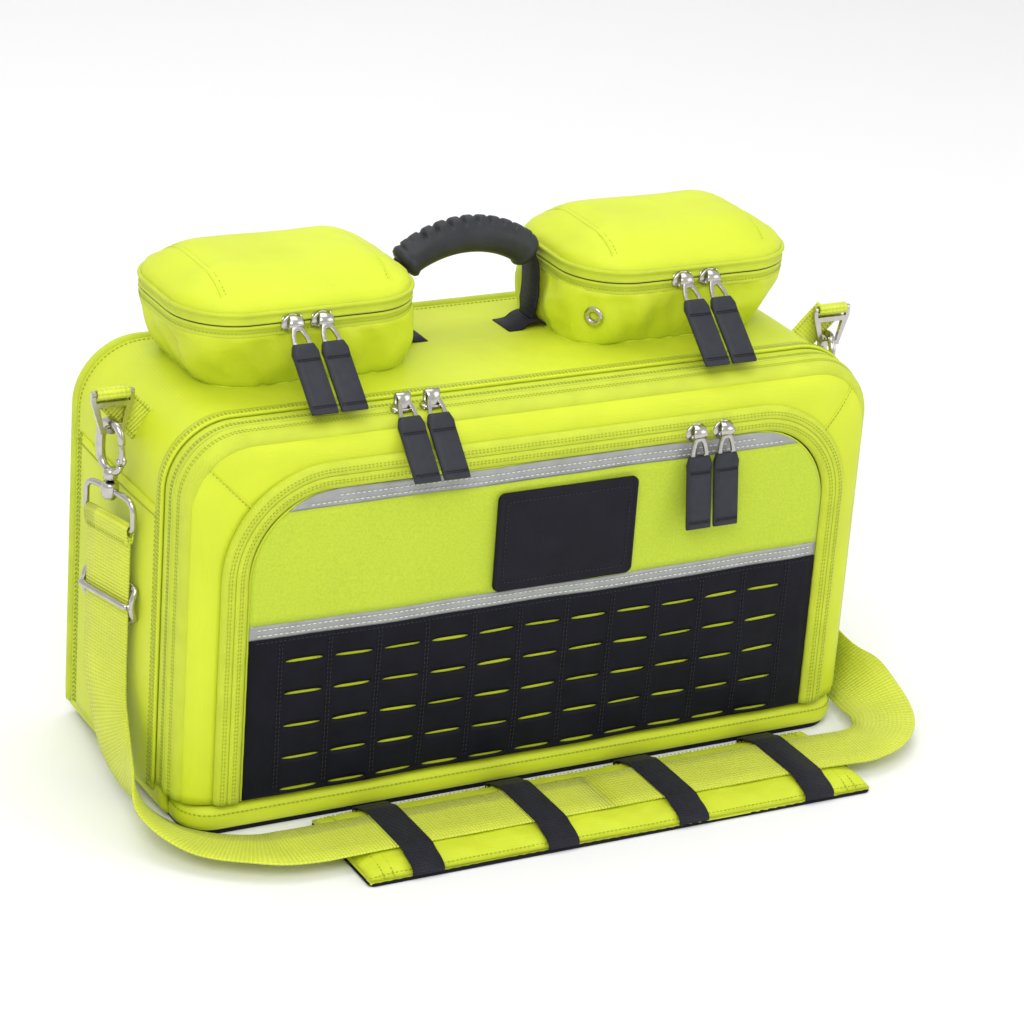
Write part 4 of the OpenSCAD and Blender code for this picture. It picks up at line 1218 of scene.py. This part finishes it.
def build_strap():
    """Ribbed webbing: down each end wall from the swivel eye, round the front corner and on to the pad."""
    s, c = math.sin(math.radians(HOOK_TURN)), math.cos(math.radians(HOOK_TURN))
    x, y = RING[0], RING[1]
    web_z = PAD_LOW[2] + 13.4
    pad_y = (PAD_LOW[1] + PAD_HIGH[1]) / 2
    # Both sides hang alike down to the bag's front corner, then lie differently on the floor
    drop = [((x, y, z), (s, -c, 0)) for z in (EYE_BAR_Z - 6, 180, 140, 98)]
    drop += [((x - 1, -14, 72), (0.2, -0.93, 0.3)), ((x - 2, -34, 46), (0.1, -0.8, 0.6))]
    left = drop + [((x - 2, -64, 30), (-0.2, -0.6, 0.75)), ((x + 2, -100, 17), (-0.7, -0.5, 0.5)),
                   ((-276, -134, 11), (-0.62, -0.74, 0.2)), ((-244, -158, 12), (-0.4, -0.9, 0.1))]
    left += [((a, pad_y, web_z), -Y) for a in (-214, -150, 27)]
    right = [((-p[0], *p[1:]), (-w[0], *w[1:])) for p, w in drop]
    right += [((3 - x, -64, 30), (0.2, -0.6, 0.75)), ((6 - x, -98, 20), (0.85, -0.15, 0.5)),
              ((-2 - x, -140, 14), (0.8, -0.6, 0.1))]
    right += [((a, pad_y, web_z), -Y) for a in (262, 200, 27)]
    strap, thread = Shape(), Shape()
    section = [(-0.9, -24.4), (0, -25), (0.9, -24.4), (1.0, -12), (1.0, 0), (1.0, 12), (0.9, 24.4), (0, 25),
               (-0.9, 24.4), (-1.0, 12), (-1.0, 0), (-1.0, -12)]
    for side, stations in ((-1, left), (1, right)):
        points, width = strap_run(stations)
        normal = np.cross(tangents(points, False), width)
        normal /= np.linalg.norm(normal, axis=1)[:, None]
        strap.sweep(points, normal, width, section)
        # The end goes round the eye's bar and is sewn to itself
        bar = np.array([-side * x, y, EYE_BAR_Z])
        axis = np.array([-side * s, -c, 0])
        out = np.cross(axis, Z)
        loop = [bar + out * 1.4 + [0, 0, -11.4], bar + out * 2.6 + [0, 0, -7]]
        loop += [bar + out * 3.5 * math.cos(a) + np.array([0, 0, 3.5 * math.sin(a)]) for a in
                 np.linspace(-0.2, math.pi + 0.2, 11)]
        loop += [bar - out * 2.6 + [0, 0, -7], bar - out * 1.4 + [0, 0, -11.4]]
        loop = smooth_path(loop, 3)
        normal = np.cross(tangents(loop, False), axis)
        strap.sweep(loop, normal, np.broadcast_to(axis, loop.shape), section)
        for z in (-8.2, -10.0):
            line = [bar + axis * -22 + [0, 0, z], bar + axis * 22 + [0, 0, z]]
            for face in (-1, 1):
                thread.stitches(np.array(line) + out * face * 3.0, out * face, 2.6, 2.0, 0.5)
    strap.made("strap_webbing", WEBBING, "strap")
    thread.made("strap_stitches", THREAD, "strap")


# ---------- shoulder pad ----------

def build_pad():
    """The shoulder pad: a quilted cover, a grip sheet underneath and four bands across it."""
    low, high = PAD_LOW, PAD_HIGH
    centre = (low + high) / 2
    half_x, half_y = (high[0] - low[0]) / 2 - 1, (high[1] - low[1]) / 2 - 1
    top = 12.0
    xs, ys = np.linspace(-half_x, half_x, 110), np.linspace(-half_y, half_y, 34)
    grid = np.zeros((34, 110, 3))
    for i, y in enumerate(ys):
        for j, x in enumerate(xs):
            crown = 1 - math.exp(-max(half_y - abs(y), 0) / 9)
            ends = 1 - math.exp(-max(half_x - abs(x), 0) / 12)
            groove = sum(math.exp(-((x - band) / 9) ** 2) for band in pad_bands(half_x))
            z = 4.0 + (top - 4.6) * crown * (0.35 + 0.65 * ends) - 0.9 * groove * crown
            z += 0.35 * math.sin(x / 9.0 + y / 14.0) * crown * ends
            grid[i, j] = (x + centre[0], y + centre[1] - 0.8 * math.sin(x / 60.0), z)
    skin = Shape().grid(grid)
    rim = np.concatenate([grid[0], grid[1:, -1], grid[-1, -2::-1], grid[-2:0:-1, 0]])
    skin.grid([rim, rim * [1, 1, 0.55] + [0, 0, 0.2], rim * [1, 1, 0] + [0, 0, 1.6]], False, True)
    skin.made("pad_cover", SHELL, "pad", "shoulder_pad", weld=0.05, puff=0.7)
    under = Shape()
    under.slab(rounded(half_x + 1, -half_y - 1, half_y + 1, 4, 5), [centre[0], centre[1], 1.2], X, Y, 2.2,
               0.8)
    under.made("pad_grip", DARK, "pad")
    thread = Shape()
    up = Z
    for column in (3, 5, -6, -4):
        thread.stitches(grid[:, column] + up * 0.3, up, 3.2, 2.2, 0.45)
    for row in (1, -2):
        thread.stitches(grid[row] + up * 0.3, up, 3.4, 2.4, 0.42)
    thread.made("pad_stitches", THREAD, "pad")
    bands, stitches = Shape(), Shape()
    over = high[2] - 0.9
    for band in pad_bands(half_x):
        x = band + centre[0]
        line = [(centre[1] - half_y - 1.2, 3.0), (centre[1] - half_y - 0.6, 7),
                (centre[1] - half_y + 5, 10.4), (centre[1] - 36, top + 0.6), (centre[1] - 28, over),
                (centre[1] - 10, over + 0.3), (centre[1] + 10, over + 0.3), (centre[1] + 28, over),
                (centre[1] + 36, top + 0.6), (centre[1] + half_y - 5, 10.4), (centre[1] + half_y + 0.6, 7),
                (centre[1] + half_y + 1.2, 3.0)]
        points = np.array([(x, a, b) for a, b in smooth_path(line, 6)])
        normal = np.cross(X, tangents(points, False))
        bands.sweep(points, normal, X, ribbon(0.6, 12.3, 12.6))
        for y in (-33, 33):
            edge = [(x - 11, centre[1] + y, top + 1.7), (x + 11, centre[1] + y, top + 1.7)]
            stitches.stitches(edge, up, 1.9, 1.5, 0.5)
    bands.made("pad_bands", DARK_WEB, "pad")
    stitches.made("pad_band_stitches", BLACK_THREAD, "pad", slot="dark_webbing")


def pad_bands(half_x):
    """Places of the four bands along the pad."""
    return [-half_x + 45 + i * (2 * half_x - 90) / 3 for i in range(4)]


# ---------- inside ----------

def build_inside():
    """The padded divider behind the cylinder space and the two straps that hold a cylinder."""
    low, high = span("main_divider")
    half, mid = high[0], (low[1] + high[1]) / 2
    faces = []
    for face in (-1, 1):
        levels = []
        for inset in (0, 2, 6, 16, 40, 80, 110):
            loop, _ = plan_loop(half - inset, (high[2] - low[2]) / 2 - inset, max(8 - inset, 1), 30, 5)
            loop += [0, (high[2] + low[2]) / 2]
            levels.append(front_view(loop, mid + face * (3.2 - 2.6 * math.exp(-inset / 3))))
        faces.append(levels)
    cushion(faces).made("main_divider", LINING, "bag")
    low, high = span("cylinder_straps")
    straps = Shape()
    for x in (low[0] + 19, high[0] - 19):
        line = smooth_path([(low[1] + 6, 13.2), (low[1] + 40, 13.6), (mid - 30, 13.4), (mid - 6, 15),
                            (mid - 5, 40)], 8)
        points = np.array([(x, a, b) for a, b in line])
        normal = np.cross(X, tangents(points, False))
        straps.sweep(points, normal, X, [(-0.8, -19), (0.8, -19), (0.8, 19), (-0.8, 19)])
    straps.made("cylinder_straps", HOOK_PILE, "bag")


# ---------- camera, light and floor ----------

# The camera that fits the photograph best, in metres, degrees and millimetres of lens
CAMERA_AT = (-1.1795, -2.1539, 1.2149)
YAW, PITCH, ROLL, LENS = 29.35, 22.96, 4.33, 124.6


def build_stage():
    """A pale floor that curves up behind the bag, soft lights and the camera."""
    scene = bpy.context.scene
    floor = bpy.data.meshes.new("floor")
    size, rise = 6.0, 5.0
    curve = [(y, 0.0) for y in (-size, 0, 2.0)] + \
        [(2.0 + 1.5 * math.sin(a), 1.5 - 1.5 * math.cos(a)) for a in np.linspace(0.1, math.pi / 2,
                                                                                 12)] + [(3.5, rise)]
    verts = [(x, y, z - 0.0004) for y, z in curve for x in (-size, size)]
    floor.from_pydata(verts, [], [(2 * i, 2 * i + 1, 2 * i + 3, 2 * i + 2) for i in range(len(curve) - 1)])
    floor.shade_smooth()
    obj = bpy.data.objects.new("floor", floor)
    scene.collection.objects.link(obj)
    floor.materials.append(material("floor_paper", (0.86, 0.86, 0.86), 0.8, spread=0.01, blotch=800))
    world = bpy.data.worlds.new("studio")
    scene.world = world
    world.use_nodes = True
    world.node_tree.nodes["Background"].inputs["Color"].default_value = (1.0, 1.0, 1.0, 1)
    world.node_tree.nodes["Background"].inputs["Strength"].default_value = 0.78
    for name, at, aim, power, width in (("key", (-1.6, -2.2, 2.6), (0, 0, 0.15), 52, 1.6),
                                        ("fill", (2.4, -2.0, 1.6), (0, 0, 0.15), 20, 2.0),
                                        ("top", (0, 0.6, 2.6), (0, 0, 0.2), 26, 2.2)):
        lamp = bpy.data.lights.new(name, "AREA")
        lamp.energy, lamp.size = power, width
        light = bpy.data.objects.new(name, lamp)
        light.location = at
        light.rotation_euler = (Vector(aim) - Vector(at)).to_track_quat("-Z", "Y").to_euler()
        scene.collection.objects.link(light)
    camera = bpy.data.objects.new("camera", bpy.data.cameras.new("camera"))
    camera.data.lens, camera.data.sensor_width = LENS, 36.0
    camera.data.clip_end = 50
    yaw, pitch, roll = (math.radians(a) for a in (YAW, PITCH, ROLL))
    ahead = np.array([math.sin(yaw) * math.cos(pitch), math.cos(yaw) * math.cos(pitch), -math.sin(pitch)])
    level = np.array([math.cos(yaw), -math.sin(yaw), 0])
    up = np.cross(level, ahead)
    right = math.cos(roll) * level + math.sin(roll) * up
    tilt = -math.sin(roll) * level + math.cos(roll) * up
    turn = np.eye(4)
    turn[:3, 0], turn[:3, 1], turn[:3, 2], turn[:3, 3] = right, tilt, -ahead, CAMERA_AT
    camera.matrix_world = Matrix(turn.tolist())
    scene.collection.objects.link(camera)
    scene.camera = camera
    scene.view_settings.view_transform = "Standard"
    scene.view_settings.look = "None"


build_body()
build_end_pockets()
build_sill()
build_main_zip()
build_door()
build_pocket_zip()
build_flap()
build_patch()
for pod_name, pod_side in (("left", -1), ("right", 1)):
    pod_wall = build_pod(pod_name, pod_side)
build_eyelet(pod_wall)
build_handle()
build_pulls()
build_strap_ends()
build_strap()
build_pad()
build_inside()
build_stage()
